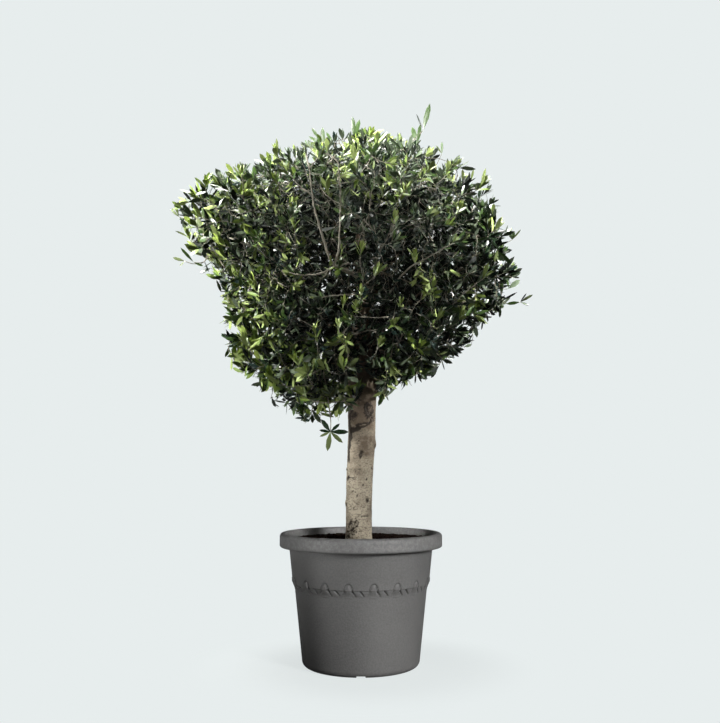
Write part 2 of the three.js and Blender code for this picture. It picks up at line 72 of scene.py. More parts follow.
def fullTurn(steps):
    return np.arange(steps) * 2 * math.pi / steps


def makeRandom(seed):
    # the same seeded run of numbers from 0 to 1 that grows the solids
    state = seed
    mask = 0xFFFFFFFF

    def draw():
        nonlocal state
        state = (state + 0x6D2B79F5) & mask
        mixed = ((state ^ (state >> 15)) * (1 | state)) & mask
        mixed = ((mixed + (((mixed ^ (mixed >> 7)) * (61 | mixed)) & mask)) & mask) ^ mixed
        return (mixed ^ (mixed >> 14)) / (mask + 1)

    return draw


def addObject(name, data):
    made = bpy.data.objects.new(name, data)
    bpy.context.scene.collection.objects.link(made)
    return made


def makePiece(name, places, triangles, materials=(), materialIndex=None):
    mesh = bpy.data.meshes.new(name)
    mesh.vertices.add(len(places))
    mesh.vertices.foreach_set("co", places.astype(np.float32).ravel())
    mesh.loops.add(triangles.size)
    mesh.loops.foreach_set("vertex_index", triangles.astype(np.int32).ravel())
    mesh.polygons.add(len(triangles))
    mesh.polygons.foreach_set("loop_start", np.arange(0, triangles.size, 3, dtype=np.int32))
    mesh.polygons.foreach_set("use_smooth", np.ones(len(triangles), bool))
    for material in materials:
        mesh.materials.append(material)
    if materialIndex is not None:
        mesh.polygons.foreach_set("material_index", materialIndex.astype(np.int32))
    mesh.update(calc_edges=True)
    return addObject(name, mesh)


def setPointValues(piece, name, values):
    attribute = piece.data.attributes.new(name, "FLOAT", "POINT")
    attribute.data.foreach_set("value", values.astype(np.float32))


def skinRings(rings):
    # closed skin over rings of points, given as an array of ring, point, axis
    rows, sides = rings.shape[:2]
    index = np.arange(rows * sides).reshape(rows, sides)
    following = np.roll(index, -1, axis=1)
    parts = index[:-1], following[:-1], index[1:], following[1:]
    low, lowNext, high, highNext = [part.ravel() for part in parts]
    foot, head = np.full(sides, rows * sides), np.full(sides, rows * sides + 1)
    corners = ((low, lowNext, highNext), (low, highNext, high), (foot, following[0], index[0]),
               (head, index[-1], following[-1]))
    ends = np.stack([rings[0].mean(0), rings[-1].mean(0)])
    return np.concatenate([rings.reshape(-1, 3), ends]), np.concatenate([np.stack(row, 1) for row in corners])


def joinSkins(skins):
    # several skins as one: places and triangles of all of them
    counts = np.cumsum([0] + [len(places) for places, _ in skins])
    triangles = [own + count for (_, own), count in zip(skins, counts)]
    return np.concatenate([places for places, _ in skins]), np.concatenate(triangles)


def tubeRings(run, radii, sides):
    # rings round a run of points, each square to the run
    along = unit(np.gradient(run, axis=0))
    side = np.array([0.0, 1.0, 0.0]) if abs(along[0][0]) > 0.8 else np.array([1.0, 0.0, 0.0])
    turns = fullTurn(sides)
    rings = []
    for point, direction, radius in zip(run, along, radii):
        side = unit(side - direction * (side @ direction))
        arms = np.outer(np.cos(turns), side) + np.outer(np.sin(turns), np.cross(direction, side))
        rings.append(point + arms * radius)
    return np.array(rings)


def dressPiece(piece, nodes=()):
    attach(piece, "root")
    if nodes:
        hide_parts(*nodes)
    print(piece.name, len(piece.data.polygons), "faces")


# Shader nodes and groups


def setInputs(tree, node, values):
    # a value is a number, a colour or the socket to link from
    for key, value in values.items():
        if isinstance(value, bpy.types.NodeSocket):
            tree.links.new(value, node.inputs[key])
        else:
            node.inputs[key].default_value = value


def addNode(tree, kind, values=None, **settings):
    node = tree.nodes.new("ShaderNode" + kind)
    for key, value in settings.items():
        setattr(node, key, value)
    setInputs(tree, node, values or {})
    return node


def addMath(tree, operation, first, second, clamp=False):
    return addNode(tree, "Math", {0: first, 1: second}, operation=operation, use_clamp=clamp).outputs[0]


def addScaled(tree, value, scale, base=None):
    product = addMath(tree, "MULTIPLY", value, scale)
    return product if base is None else addMath(tree, "ADD", base, product)


def addMix(tree, factor, first, second):
    return addNode(tree, "Mix", {0: factor, 6: first, 7: second}, data_type="RGBA").outputs[2]


def addRamp(tree, value, low, high):
    # a value stretched so that low gives 0 and high gives 1
    return addNode(tree, "MapRange", {"Value": value, "From Min": low, "From Max": high}).outputs["Result"]


def addNoise(tree, where, scale, detail, roughness):
    values = {"Vector": where, "Scale": scale, "Detail": detail, "Roughness": roughness}
    return addNode(tree, "TexNoise", values).outputs["Fac"]


def addBump(tree, height, strength, distance):
    values = {"Height": height, "Strength": strength, "Distance": distance}
    return addNode(tree, "Bump", values).outputs["Normal"]


def objectPlace(tree):
    return addNode(tree, "TexCoord").outputs["Object"]


def objectHeight(tree):
    return addNode(tree, "SeparateXYZ", {0: objectPlace(tree)}).outputs["Z"]


def makeGroup(name, inputs, outputs):
    # inputs come with their values; the output named Color is a colour and the others are numbers
    group = bpy.data.node_groups.new(name, "ShaderNodeTree")
    for label, value in inputs.items():
        kind = "NodeSocketColor" if isinstance(value, tuple) else "NodeSocketFloat"
        group.interface.new_socket(label, in_out="INPUT", socket_type=kind).default_value = value
    for label in outputs:
        kind = "NodeSocketColor" if label == "Color" else "NodeSocketFloat"
        group.interface.new_socket(label, in_out="OUTPUT", socket_type=kind)
    return group, group.nodes.new("NodeGroupInput").outputs, group.nodes.new("NodeGroupOutput")


def placeGroup(tree, group, values):
    return addNode(tree, "Group", values, node_tree=group).outputs


def startMaterial(name):
    material = bpy.data.materials.new(name)
    material.use_nodes = True
    return material, material.node_tree, material.node_tree.nodes["Principled BSDF"]


def makeGrainGroup():
    # fine grain in the object's own space: a speckle, a slow cloud and a height for bumps
    scales = {"Grain Scale": 400.0, "Cloud Scale": 9.0}
    group, entry, result = makeGroup("fineGrain", scales, ("Speckle", "Cloud", "Height"))
    where = objectPlace(group)
    grain = addNoise(group, where, entry["Grain Scale"], 3.0, 0.6)
    cloud = addNoise(group, where, entry["Cloud Scale"], 4.0, 0.55)
    setInputs(group, result, {"Speckle": addRamp(group, grain, 0.36, 0.66),
                              "Cloud": addRamp(group, cloud, 0.34, 0.66), "Height": grain})
    return group


def makeBarkGroup():
    # olive bark: pale skin with fine specks and small cross cracks, browner where the age input is high; that
    # input also carries painted shade
    values = {"Pale": (0.34, 0.30, 0.23, 1), "Brown": (0.090, 0.067, 0.046, 1), "Age": 0.0, "Scale": 1.0}
    group, entry, result = makeGroup("oliveBark", values, ("Color", "Height", "Roughness"))
    sized = addNode(group, "VectorMath", {0: objectPlace(group), "Scale": entry["Scale"]}, operation="SCALE")
    where = sized.outputs[0]
    flat = addNode(group, "VectorMath", {0: where, 1: (1.0, 1.0, 2.6)}, operation="MULTIPLY").outputs[0]
    blotch = addNoise(group, where, 17.0, 5.0, 0.62)
    speck = addNoise(group, where, 190.0, 3.0, 0.7)
    fleck = addNoise(group, flat, 105.0, 2.0, 0.5)
    crack = addNode(group, "TexVoronoi", {"Vector": flat, "Scale": 52.0}, feature="DISTANCE_TO_EDGE")
    tone = addMath(group, "ADD", addRamp(group, blotch, 0.42, 0.78), entry["Age"], True)
    color = addMix(group, tone, entry["Pale"], entry["Brown"])
    specks = addScaled(group, addRamp(group, speck, 0.50, 0.68), 0.66)
    color = addMix(group, specks, color, (0.085, 0.066, 0.048, 1))
    flecks = addScaled(group, addRamp(group, fleck, 0.55, 0.65), 0.68)
    color = addMix(group, flecks, color, (0.070, 0.055, 0.040, 1))
    cracks = addMath(group, "SUBTRACT", 1.0, addRamp(group, crack.outputs["Distance"], 0.0, 0.05))
    cracks = addScaled(group, cracks, addRamp(group, blotch, 0.45, 0.6))
    setInputs(group, result, {
        "Color": addMix(group, addScaled(group, cracks, 0.5), color, (0.06, 0.046, 0.034, 1)),
        "Height": addMath(group, "SUBTRACT", addScaled(group, speck, 0.7), cracks),
        "Roughness": addScaled(group, speck, 0.25, 0.72),
    })
    return group


fineGrain = makeGrainGroup()
oliveBark = makeBarkGroup()


# Camera

camera = {"place": (-0.003, -3.0, 0.675), "tilt": 6.58, "lens": 43.19}  # tilt in degrees above the horizon


def makeCamera():
    data = bpy.data.cameras.new("camera")
    data.lens = camera["lens"]
    data.sensor_width = 36.0
    eye = addObject("camera", data)
    eye.location = camera["place"]
    eye.rotation_euler = (math.radians(90 + camera["tilt"]), 0, 0)
    bpy.context.scene.camera = eye


makeCamera()


# Planter

planter = {
    "segments": 504,
    "rimRadius": 0.275, "rimTop": 0.436, "rimBottom": 0.390, "rimRounding": 0.011, "lipRounding": 0.006,
    "openingRadius": 0.256,
    "wallTop": 0.383, "wallTopRadius": 0.242, "wallThickness": 0.006,
    "baseRadius": 0.197, "baseCorner": 0.020, "floorThickness": 0.016,
    "channels": 4, "channelWidth": 0.034, "channelHeight": 0.007, "channelStart": 0.120,
    "drainRadius": 0.008, "drainPlace": 0.150,
    "color": (0.094, 0.094, 0.094, 1),
    "dust": (0.158, 0.157, 0.156, 1),
    # the rim's dust, made lighter as its painted highlight
    "rimDustAndHighlight": (0.200, 0.200, 0.200, 1),
    # painted shade for the garland's folds
    "foldShadeColor": (0.016, 0.016, 0.016, 1),
}

garland = {
    "bottom": 0.248, "top": 0.296,
    "ledge": 0.272, "ledgeRun": 0.0018, "ledgeStep": 0.0055,
    "radius": 0.232,
    "motifs": 18,
    "archHeight": 0.0025,
    "archWidth": 0.17,  # half of it, as a share of a motif's width
    "swag": 0.0030,
    "folds": (  # from and to: share of a motif's width and height, and how deep
        ((0.085, 0.2865), (0.15, 0.272), 0.7), ((0.14, 0.2705), (0.29, 0.254), 1.0),
        ((0.45, 0.2715), (0.60, 0.256), 1.0), ((-0.55, 0.2715), (-0.40, 0.256), 1.0),
        ((-0.16, 0.2680), (-0.24, 0.260), 0.35),
    ),
    "foldDepth": 0.0062, "foldWidth": 0.0022,
}

soilTop = 0.412


def wallRadius(height):
    foot, corner, step = planter["baseRadius"], planter["baseCorner"], garland["ledgeStep"]
    slope = (planter["wallTopRadius"] - step - foot) / (planter["wallTop"] - corner)
    ledge = smoothStep(height, garland["ledge"] - garland["ledgeRun"], garland["ledge"] + garland["ledgeRun"])
    return foot + slope * (height - corner) + step * ledge


def nearLine(across, height, start, end):
    # distance from points on the unrolled wall to a line on it
    runX, runZ = end[0] - start[0], end[1] - start[1]
    share = ((across - start[0]) * runX + (height - start[1]) * runZ) / (runX * runX + runZ * runZ)
    share = np.clip(share, 0, 1)
    return np.hypot(across - start[0] - share * runX, height - start[1] - share * runZ)


def garlandRelief(turn, height):
    # raised arches that hang over the ledge, with a swag between them and slanting folds; also the depth of
    # the folds from 0 to 1, which also darkens the planter's colour in them as painted shade
    pitch = 2 * math.pi * garland["radius"] / garland["motifs"]
    place = np.mod(turn * garland["motifs"] / (2 * math.pi), 1.0) - 0.5  # 0 in the middle of an arch
    ledge, bottom, top = garland["ledge"], garland["bottom"], garland["top"]
    below = 1 - smoothStep(height, ledge - 0.002, ledge + 0.002)
    rise = np.where(height > ledge, (height - ledge) / (top - 0.003 - ledge), 0)
    outline = np.hypot(place / garland["archWidth"], rise)  # 1 on the arch's outline
    hang = smoothStep(height, bottom + 0.004, ledge) * below
    lift = garland["archHeight"] * (1 - 0.6 * below) + garland["ledgeStep"] * hang
    swag = garland["swag"] * smoothStep(height, bottom, ledge - 0.004) * below
    relief = np.maximum(smoothStep(1 - outline, 0, 0.45) * lift, swag)
    # a fine groove round the arch, deepest on its right
    deep = bell(outline, 1.02, 0.09) * (1 - below) * (0.65 + 0.50 * smoothStep(place, -0.02, 0.08))
    for start, end, share in garland["folds"]:
        line = (start[0] * pitch, start[1]), (end[0] * pitch, end[1])
        distance = nearLine(place * pitch, height, *line)
        deep = np.maximum(deep, share * bell(distance, 0, garland["foldWidth"]))
    return relief - garland["foldDepth"] * deep * np.clip(relief / 0.003, 0.25, 1), deep


def arcPoints(radius, height, rounding, fromTurn, toTurn, steps):
    turns = np.radians(np.linspace(fromTurn, toTurn, steps))
    return np.stack([radius + rounding * np.cos(turns), height + rounding * np.sin(turns)], 1)


def wallRows(low, high, step):
    heights = np.linspace(low, high, max(int(round((high - low) / step)), 1) + 1)
    return np.stack([wallRadius(heights), heights], 1)


def spinProfile(profile, segments):
    turns = fullTurn(segments)
    radius, height = profile[:, :1], profile[:, 1:]
    return np.stack([radius * np.sin(turns), -radius * np.cos(turns), np.repeat(height, segments, 1)], 2)


def cutChannels(piece):
    # four shallow channels under the base, each with a drain hole through the floor
    half, rise = planter["channelWidth"] / 2, planter["channelHeight"]
    outline = [(-half, -0.01), (half, -0.01), (half - 0.003, rise - 0.001), (half - 0.005, rise),
               (0.005 - half, rise), (0.003 - half, rise - 0.001)]
    ends = planter["channelStart"], planter["baseRadius"] + 0.02
    channel = skinRings(np.array([[(x, -reach, z) for x, z in outline] for reach in ends]))
    turns = fullTurn(24)
    hole = np.stack([np.cos(turns), np.sin(turns), 0 * turns], 1) * planter["drainRadius"]
    hole = hole - (0, planter["drainPlace"], 0)
    drain = skinRings(np.stack([hole - (0, 0, 0.01), hole + (0, 0, 0.03)]))
    cutters = []
    for i in range(planter["channels"]):
        turn = 2 * math.pi * i / planter["channels"]
        along, aside = math.cos(turn), math.sin(turn)
        turned = np.array([[along, -aside, 0], [aside, along, 0], [0, 0, 1]])
        for places, triangles in (channel, drain):
            cutters.append(makePiece("cutter", places @ turned.T, triangles))
    for cutter in cutters:
        modifier = piece.modifiers.new("cut", "BOOLEAN")
        modifier.operation = "DIFFERENCE"
        modifier.solver = "MANIFOLD"
        modifier.object = cutter
    cut = piece.evaluated_get(bpy.context.evaluated_depsgraph_get())
    finished = bpy.data.meshes.new_from_object(cut)
    piece.modifiers.clear()
    piece.data = finished
    for cutter in cutters:
        bpy.data.objects.remove(cutter)


def makePlanterMaterial():
    material, tree, shader = startMaterial("mouldedPlastic")
    grain = placeGroup(tree, fineGrain, {"Grain Scale": 190.0, "Cloud Scale": 7.0})
    color = addMix(tree, addScaled(tree, grain["Cloud"], 0.22), planter["color"], planter["dust"])
    speckShare = addScaled(tree, grain["Speckle"], 0.5)
    color = addMix(tree, speckShare, color, planter["dust"])
    # dust and a painted highlight lie on the rim, lighter in mottled streaks, and thin out down the wall
    mottle = placeGroup(tree, fineGrain, {"Grain Scale": 85.0, "Cloud Scale": 16.0})
    dustAndHighlightStreaks = addScaled(tree, mottle["Speckle"], addMath(tree, "ADD", 0.35, speckShare))
    dustAndHighlightRim = addRamp(tree, objectHeight(tree), 0.386, 0.402)
    dustAndHighlightShare = addScaled(tree, dustAndHighlightRim, addMath(tree, "ADD", 0.14, dustAndHighlightStreaks))
    color = addMix(tree, dustAndHighlightShare, color, planter["rimDustAndHighlight"])
    # painted shade in the garland's folds: darker where they are deepest
    foldShade = addNode(tree, "Attribute", attribute_name="foldShade").outputs["Fac"]
    setInputs(tree, shader, {
        "Base Color": addMix(tree, addScaled(tree, foldShade, 0.85), color, planter["foldShadeColor"]),
        "Roughness": addScaled(tree, grain["Speckle"], 0.16, 0.46),
        "Specular IOR Level": 0.42,
        "Normal": addBump(tree, grain["Height"], 0.35, 0.0012),
    })
    return material


def makePlanter():
    rim, top, bottom = planter["rimRadius"], planter["rimTop"], planter["rimBottom"]
    rounding, lip, corner = planter["rimRounding"], planter["lipRounding"], planter["baseCorner"]
    opening, thick, floor = planter["openingRadius"], planter["wallThickness"], planter["floorThickness"]
    profile = np.concatenate([
        [(0.05, 0.0), (0.12, 0.0)],
        arcPoints(planter["baseRadius"] - corner, corner, corner, -90, 0, 9),
        wallRows(corner + 0.010, garland["bottom"] - 0.003, 0.012),
        wallRows(garland["bottom"], garland["top"], 0.0012),
        wallRows(garland["top"] + 0.004, planter["wallTop"] - 0.004, 0.012),
        arcPoints(planter["wallTopRadius"] + 0.006, bottom - 0.006, 0.006, 180, 95, 4),
        arcPoints(rim - lip, bottom + lip, lip, -85, 0, 6),
        [(rim, bottom + 0.014), (rim, top - 0.02)],
        arcPoints(rim - rounding, top - rounding, rounding, 0, 88, 9),
        arcPoints(opening + 0.005, top - 0.005, 0.005, 92, 180, 5),
        [(opening - 0.002, top - 0.014), (opening - 0.006, soilTop - 0.004)],
        wallRows(floor, planter["wallTop"] - thick, 0.03)[::-1] - (thick, 0),
        [(0.12, floor), (0.05, floor)],
    ])
    rings = spinProfile(profile, planter["segments"])
    turns = fullTurn(planter["segments"])
    folds = np.zeros(rings.shape[:2])
    for row, (radius, height) in enumerate(profile):
        outside = radius > wallRadius(height) - 0.001
        if outside and garland["bottom"] + 0.0005 < height < garland["top"] - 0.0005:
            relief, folds[row] = garlandRelief(turns, np.full(len(turns), height))
            rings[row, :, :2] *= ((radius + relief) / radius)[:, None]
    piece = makePiece("planter", *skinRings(rings), [makePlanterMaterial()])
    # the folds' depth, kept for the painted shade in them
    setPointValues(piece, "foldShade", np.concatenate([folds.ravel(), [0, 0]]))
    cutChannels(piece)
    piece.data.set_sharp_from_angle(angle=math.radians(50))
    dressPiece(piece, ["pot"])


makePlanter()


# Soil

soil = {
    "rows": 64, "sides": 200,
    "rough": ((0.0028, 60), (0.0022, 170), (0.0012, 420)), "heap": 0.003,
    "lumps": 320, "lumpSize": (0.0022, 0.0065),
    # the soil's own dark tones, lowered further as painted shade for the planter's shaded inside
    "dark": (0.005, 0.003, 0.0022, 1),
    "light": (0.022, 0.013, 0.009, 1),
    "seed": 7,
}


def makeSoilMaterial():
    material, tree, shader = startMaterial("pottingSoil")
    grain = placeGroup(tree, fineGrain, {"Grain Scale": 260.0, "Cloud Scale": 30.0})
    tone = addScaled(tree, grain["Speckle"], grain["Cloud"])
    setInputs(tree, shader, {
        "Base Color": addMix(tree, tone, soil["dark"], soil["light"]),
        "Roughness": addScaled(tree, tone, 0.1, 0.86),
        "Specular IOR Level": 0.03,
        "Normal": addBump(tree, grain["Height"], 0.8, 0.003),
    })
    return material


def makeSoil():
    edge, floor = planter["openingRadius"] - 0.0064, planter["floorThickness"] + 0.0003
    wall = wallRows(floor, planter["wallTop"] - 0.006, 0.05) - (planter["wallThickness"] + 0.0003, 0)
    surface = np.stack([np.linspace(edge, 0.012, soil["rows"]), np.full(soil["rows"], soilTop)], 1)
    profile = np.concatenate([[(0.05, floor)], wall, [(edge, soilTop - 0.004)], surface])
    rings = spinProfile(profile, soil["sides"])
    top = rings[-soil["rows"]:].reshape(-1, 3)
    # heaped a little towards the planter's wall, flat at the trunk
    heap = soil["heap"] * smoothStep(np.hypot(top[:, 0], top[:, 1]), 0.1, 0.24) - 0.002
    top[:, 2] += roughOf(top, soil["rough"]) + heap
    rings[-soil["rows"]:] = top.reshape(soil["rows"], soil["sides"], 3)
    skins = [skinRings(rings)]
    random = np.random.default_rng(soil["seed"])
    turns = fullTurn(7)
    for _ in range(soil["lumps"]):
        place = random.uniform(0.06, 0.242)
        turn = random.uniform(0, 2 * math.pi)
        size = random.uniform(*soil["lumpSize"]) * random.uniform(0.6, 1.0)
        rows = []
        for rise in (-0.9, -0.5, 0.1, 0.6, 0.92):
            flat = math.sqrt(1 - rise * rise) * size * random.uniform(0.75, 1.2, 7)
            level = np.full(7, rise * size * 0.8)
            rows.append(np.stack([flat * np.cos(turns), flat * np.sin(turns), level], 1))
        centre = (place * math.sin(turn), -place * math.cos(turn), soilTop + 0.001)
        skins.append(skinRings(np.array(rows) + centre))
    piece = makePiece("pottingSoil", *joinSkins(skins), [makeSoilMaterial()])
    dressPiece(piece, ["soil"])


makeSoil()


# Crown: the growing rule of the solids, in metres

heart = np.array([-0.020, 0.0, 1.370])  # the crown's middle
upward = np.array([0.0, 0.0, 1.0])

crown = {
    "reach": np.array([  # elevation in degrees, reach towards -X, reach towards +X
        (-90, 0.500, 0.500), (-75, 0.605, 0.505), (-60, 0.582, 0.486), (-38, 0.575, 0.508),
        (-16, 0.485, 0.555), (-6, 0.530, 0.590), (4, 0.600, 0.568), (16, 0.675, 0.570),
        (27, 0.580, 0.540), (45, 0.475, 0.518), (62, 0.450, 0.488), (78, 0.490, 0.474), (90, 0.475, 0.502),
    ]),
    "depth": 0.98,
    "hollow": 0.4, "hollowRadius": 0.112,
    "margin": 0.003, "limbClearance": 0.004,
    "candidates": 14,
}

massRings = [
    {"name": "low", "elevation": -52, "depth": 0.72, "turn": -22, "count": 5, "twigs": 11, "bough": 0.012},
    {"name": "mid", "elevation": -6, "depth": 0.70, "turn": 12, "count": 6, "twigs": 11, "bough": 0.018},
    {"name": "high", "elevation": 38, "depth": 0.68, "turn": 34, "count": 5, "twigs": 10, "bough": 0.014},
    {"name": "top", "elevation": 90, "depth": 0.70, "turn": 0, "count": 1, "twigs": 10, "bough": 0.027},
]

trunk = {
    "course": np.array([  # height, lean to +X, radius
        (0.4123, -0.008, 0.0465), (0.426, -0.008, 0.0448), (0.470, -0.008, 0.0438), (0.590, -0.007, 0.0440),
        (0.700, 0.0, 0.0465), (0.770, 0.003, 0.047), (0.850, 0.005, 0.048), (0.930, 0.008, 0.050),
        (0.985, 0.009, 0.0495), (1.020, 0.010, 0.043), (1.040, 0.010, 0.031),
    ]),
    "sides": 128, "rowStep": 0.0032,
    "ridge": 0.0013,
    "middle": 0.047,  # the radius that the marks are measured on
}

boughs = {
    "tipShare": 0.52,
    "mainHeights": (0.948, 0.990),
    "rise": {"low": 6, "mid": 65, "high": 53},  # degrees above the horizon at the foot
    "lowForks": 0.16, "leaderForks": (0.20, 0.36, 0.28, 0.44, 0.52),
    "least": 0.32,
    "bend": 0.55, "stemBend": 0.4, "stemEnd": 0.005,
    "sides": 18, "ringStep": 0.012, "rough": ((0.0011, 55), (0.0006, 160)),
}

twigs = {
    "radius": 0.0042, "tipRadius": 0.0022,
    "forkShare": 0.8,
    "bend": 0.42,
    "depth": 0.06,  # how far below the outline their places may lie
    "tipGap": 0.108,  # a twig of the solids stops this far short of its place
}

# shoots that stand out of the crown: their tip, the way it points, and where the bare wood ends
shoots = [
    ((0.244, -0.070, 1.927), (0.3, 0, 1), (0.218, -0.070, 1.829)),
    ((-0.066, -0.030, 1.905), (0.1, 0, 1), (-0.024, -0.030, 1.816)),
    ((-0.676, 0.010, 1.570), (-0.85, 0, 0.55), (-0.648, 0.010, 1.541)),
    ((-0.655, -0.020, 1.392), (-1, 0, 0.2), (-0.618, -0.020, 1.373)),
    ((0.601, 0.0, 1.256), (1, 0, 0.15), (0.559, 0.0, 1.231)),
    ((-0.102, -0.090, 0.712), (0, -0.05, -1), (-0.102, -0.090, 0.774)),
]

# sprigs that stand out round the crown: their node, then for each leaf the turn seen from the front, the
# length, the width in hundredths of it and the colour; lengths here are in millimetres
sprigs = [
    ((-24, -30, 1816), (94, 78, 21, "olive"), (75, 78, 19, "olive"), (56, 45, 31, "green")),
    ((31, -30, 1816), (115, 44, 31, "green"), (92, 44, 23, "deep")),
    ((66, -30, 1784), (114, 54, 23, "grey"), (93, 63, 25, "olive"), (68, 50, 21, "green")),
    ((114, -30, 1780), (76, 55, 22, "olive"), (125, 38, 36, "green")),
    ((161, -30, 1752), (122, 61, 19, "blue"), (58, 41, 25, "green")),
    ((198, -70, 1781), (107, 69, 29, "grey"), (81, 73, 29, "olive")),
    ((218, -70, 1829), (76, 104, 19, "olive"), (110, 68, 8, "blue")),
    ((287, -30, 1759), (88, 48, 24, "grey"), (123, 38, 27, "olive")),
    ((-134, -30, 1784), (92, 76, 20, "olive"), (141, 65, 21, "grey")),
    ((-151, -30, 1816), (122, 45, 28, "grey")),
    ((-100, -30, 1798), (118, 47, 27, "grey"), (79, 44, 12, "blue")),
    ((-648, 10, 1541), (139, 43, 21, "olive"), (106, 55, 24, "olive")),
    ((-628, 10, 1529), (97, 61, 10, "blue")),
    ((-608, 10, 1516), (101, 51, 10, "blue"), (-112, 32, 32, "olive")),
    ((-579, 0, 1583), (107, 54, 36, "olive")),
    ((-534, 0, 1588), (128, 48, 24, "green"), (150, 40, 26, "olive")),
    ((-556, 0, 1574), (109, 31, 38, "olive")),
    ((-551, -20, 1470), (117, 69, 35, "olive"), (149, 29, 36, "green")),
    ((-532, -20, 1506), (125, 60, 29, "olive"), (94, 44, 16, "blue")),
    ((-521, -20, 1438), (151, 63, 22, "olive")),
    ((-618, -20, 1373), (162, 44, 27, "olive"), (-135, 25, 34, "olive")),
    ((-587, -20, 1370), (132, 67, 16, "green"), (-23, 38, 31, "green")),
    ((-554, -20, 1390), (152, 67, 26, "olive")),
    ((-526, -20, 1347), (-165, 42, 33, "deep")),
    ((536, 0, 1455), (50, 48, 14, "olive"), (76, 32, 37, "green"), (112, 31, 37, "grey")),
    ((505, 0, 1392), (72, 28, 36, "deep"), (100, 27, 32, "deep")),
    ((539, 0, 1334), (96, 38, 31, "green"), (41, 32, 33, "olive"), (118, 30, 35, "green")),
    ((519, 0, 1279), (38, 56, 35, "grey"), (91, 47, 22, "green")),
    ((491, -30, 1253), (92, 54, 34, "green")),
    ((559, 0, 1231), (31, 52, 21, "olive"), (-16, 32, 30, "grey"), (56, 40, 14, "blue"),
     (-172, 49, 24, "green")),
    ((486, 0, 1231), (28, 71, 11, "deep"), (-131, 33, 21, "deep")),
    ((450, 0, 1364), (76, 38, 36, "deep")),
    ((-102, -90, 774), (-1, 60, 30, "deep"), (42, 42, 28, "deep"), (128, 54, 28, "deep"),
     (172, 38, 30, "deep"), (205, 40, 22, "olive"), (-42, 56, 24, "olive"), (-99, 66, 26, "olive")),
]

# bare grey shoots at the crown's front: their radius at the foot and the tip, then the X and height in
# millimetres of their places, and the share in hundredths of the way to the crown's outline
frontShoots = [
    ((0.0075, 0.0052), (40, 1225, 45), (-12, 1240, 82), (-80, 1256, 93)),
    ((0.0040, 0.0019), (-80, 1256, 93), (-97, 1281, 95), (-122, 1356, 96), (-136, 1411, 96), (-141, 1442, 97),
     (-150, 1517, 98), (-166, 1599, 99)),
    ((0.0021, 0.0012), (-141, 1442, 97), (-183, 1473, 98), (-214, 1514, 99)),
    ((0.0020, 0.0012), (-150, 1517, 98), (-117, 1573, 99)),
    ((0.0034, 0.0016), (-80, 1256, 93), (-64, 1294, 95), (-61, 1396, 96), (-61, 1467, 97), (-65, 1542, 98),
     (-114, 1580, 99)),
    ((0.0034, 0.0016), (-80, 1256, 93), (-118, 1233, 95), (-178, 1233, 96), (-217, 1242, 97)),
    ((0.0030, 0.0015), (45, 1195, 50), (-20, 1174, 92), (-76, 1169, 96), (-136, 1160, 97)),
    ((0.0028, 0.0014), (70, 1200, 50), (132, 1245, 94), (204, 1280, 97), (279, 1325, 99)),
    ((0.0023, 0.0013), (240, 1140, 50), (309, 1185, 95), (353, 1223, 97), (390, 1248, 99)),
]

# young rosettes that stand out at the crown's front: X and height in millimetres, and size
rosettes = [
    (0, 1295, 1.1), (160, 1277, 1.0), (100, 1386, 1.0), (50, 1238, 1.2), (0, 1176, 0.9), (-50, 1145, 0.9),
    (-15, 1138, 0.8), (120, 1148, 0.8), (220, 1207, 1.0), (240, 1119, 1.0), (-200, 1370, 0.9),
    (-230, 1333, 0.9), (-180, 1277, 0.8), (-100, 1465, 1.3), (-90, 1268, 0.7), (-140, 1063, 1.0),
    (-70, 1086, 0.9), (-60, 1041, 0.8), (100, 1089, 0.9), (-200, 986, 1.0), (-170, 965, 0.9), (-60, 974, 0.9),
    (-120, 970, 0.9), (-190, 893, 0.9), (60, 1037, 0.9), (-300, 1441, 1.1), (-360, 1533, 1.0),
    (-260, 1621, 1.2), (-20, 1578, 1.2), (50, 1663, 1.2), (270, 1571, 1.0), (400, 1580, 1.0),
    (-340, 1241, 1.0), (-370, 1056, 1.1), (-290, 943, 1.0), (320, 1137, 0.9), (300, 1435, 1.0),
    (-440, 1324, 1.0),
]


def reachOf(directions):
    # how far the crown reaches from its heart in each direction
    elevation = np.degrees(np.arcsin(np.clip(directions[..., 2], -1, 1)))
    flat = np.hypot(directions[..., 0], directions[..., 1])
    rightShare = 0.5 + 0.5 * directions[..., 0] / np.where(flat > 0, flat, 1)
    rows = crown["reach"]
    left, right = [np.interp(elevation, rows[:, 0], rows[:, column]) for column in (1, 2)]
    return (left + (right - left) * rightShare) * (1 + (crown["depth"] - 1) * np.abs(directions[..., 1]))


def crownShare(points):
    # 0 at the heart, 1 on the crown's outline
    arm = points - heart
    return np.linalg.norm(arm, axis=-1) / reachOf(unit(arm))


def notchShare(points):
    # how far the finer growth reaches, as a share of the outline: it leaves notches between the tufts
    depth = sprays["notch"] * (1 + 0.9 * smoothStep(points[:, 2], 1.45, 1.75))
    return 1 - depth * smoothStep(noiseOf(points, sprays["notchScale"], 5.0), -0.05, 0.30)


def makeMasses():
    made = []
    for ring in massRings:
        rise = math.radians(ring["elevation"])
        flat = math.cos(rise)
        for i in range(ring["count"]):
            turn = math.radians(ring["turn"] + 360 * i / ring["count"])
            direction = np.array([flat * math.sin(turn), -flat * math.cos(turn), math.sin(rise)])
            name = f"{ring['name']}_{i + 1}" if ring["count"] > 1 else ring["name"]
            middle = heart + direction * ring["depth"] * reachOf(direction)
            made.append({"name": name, "ring": ring, "middle": middle, "seed": 101 + 17 * len(made)})
    return made


masses = makeMasses()


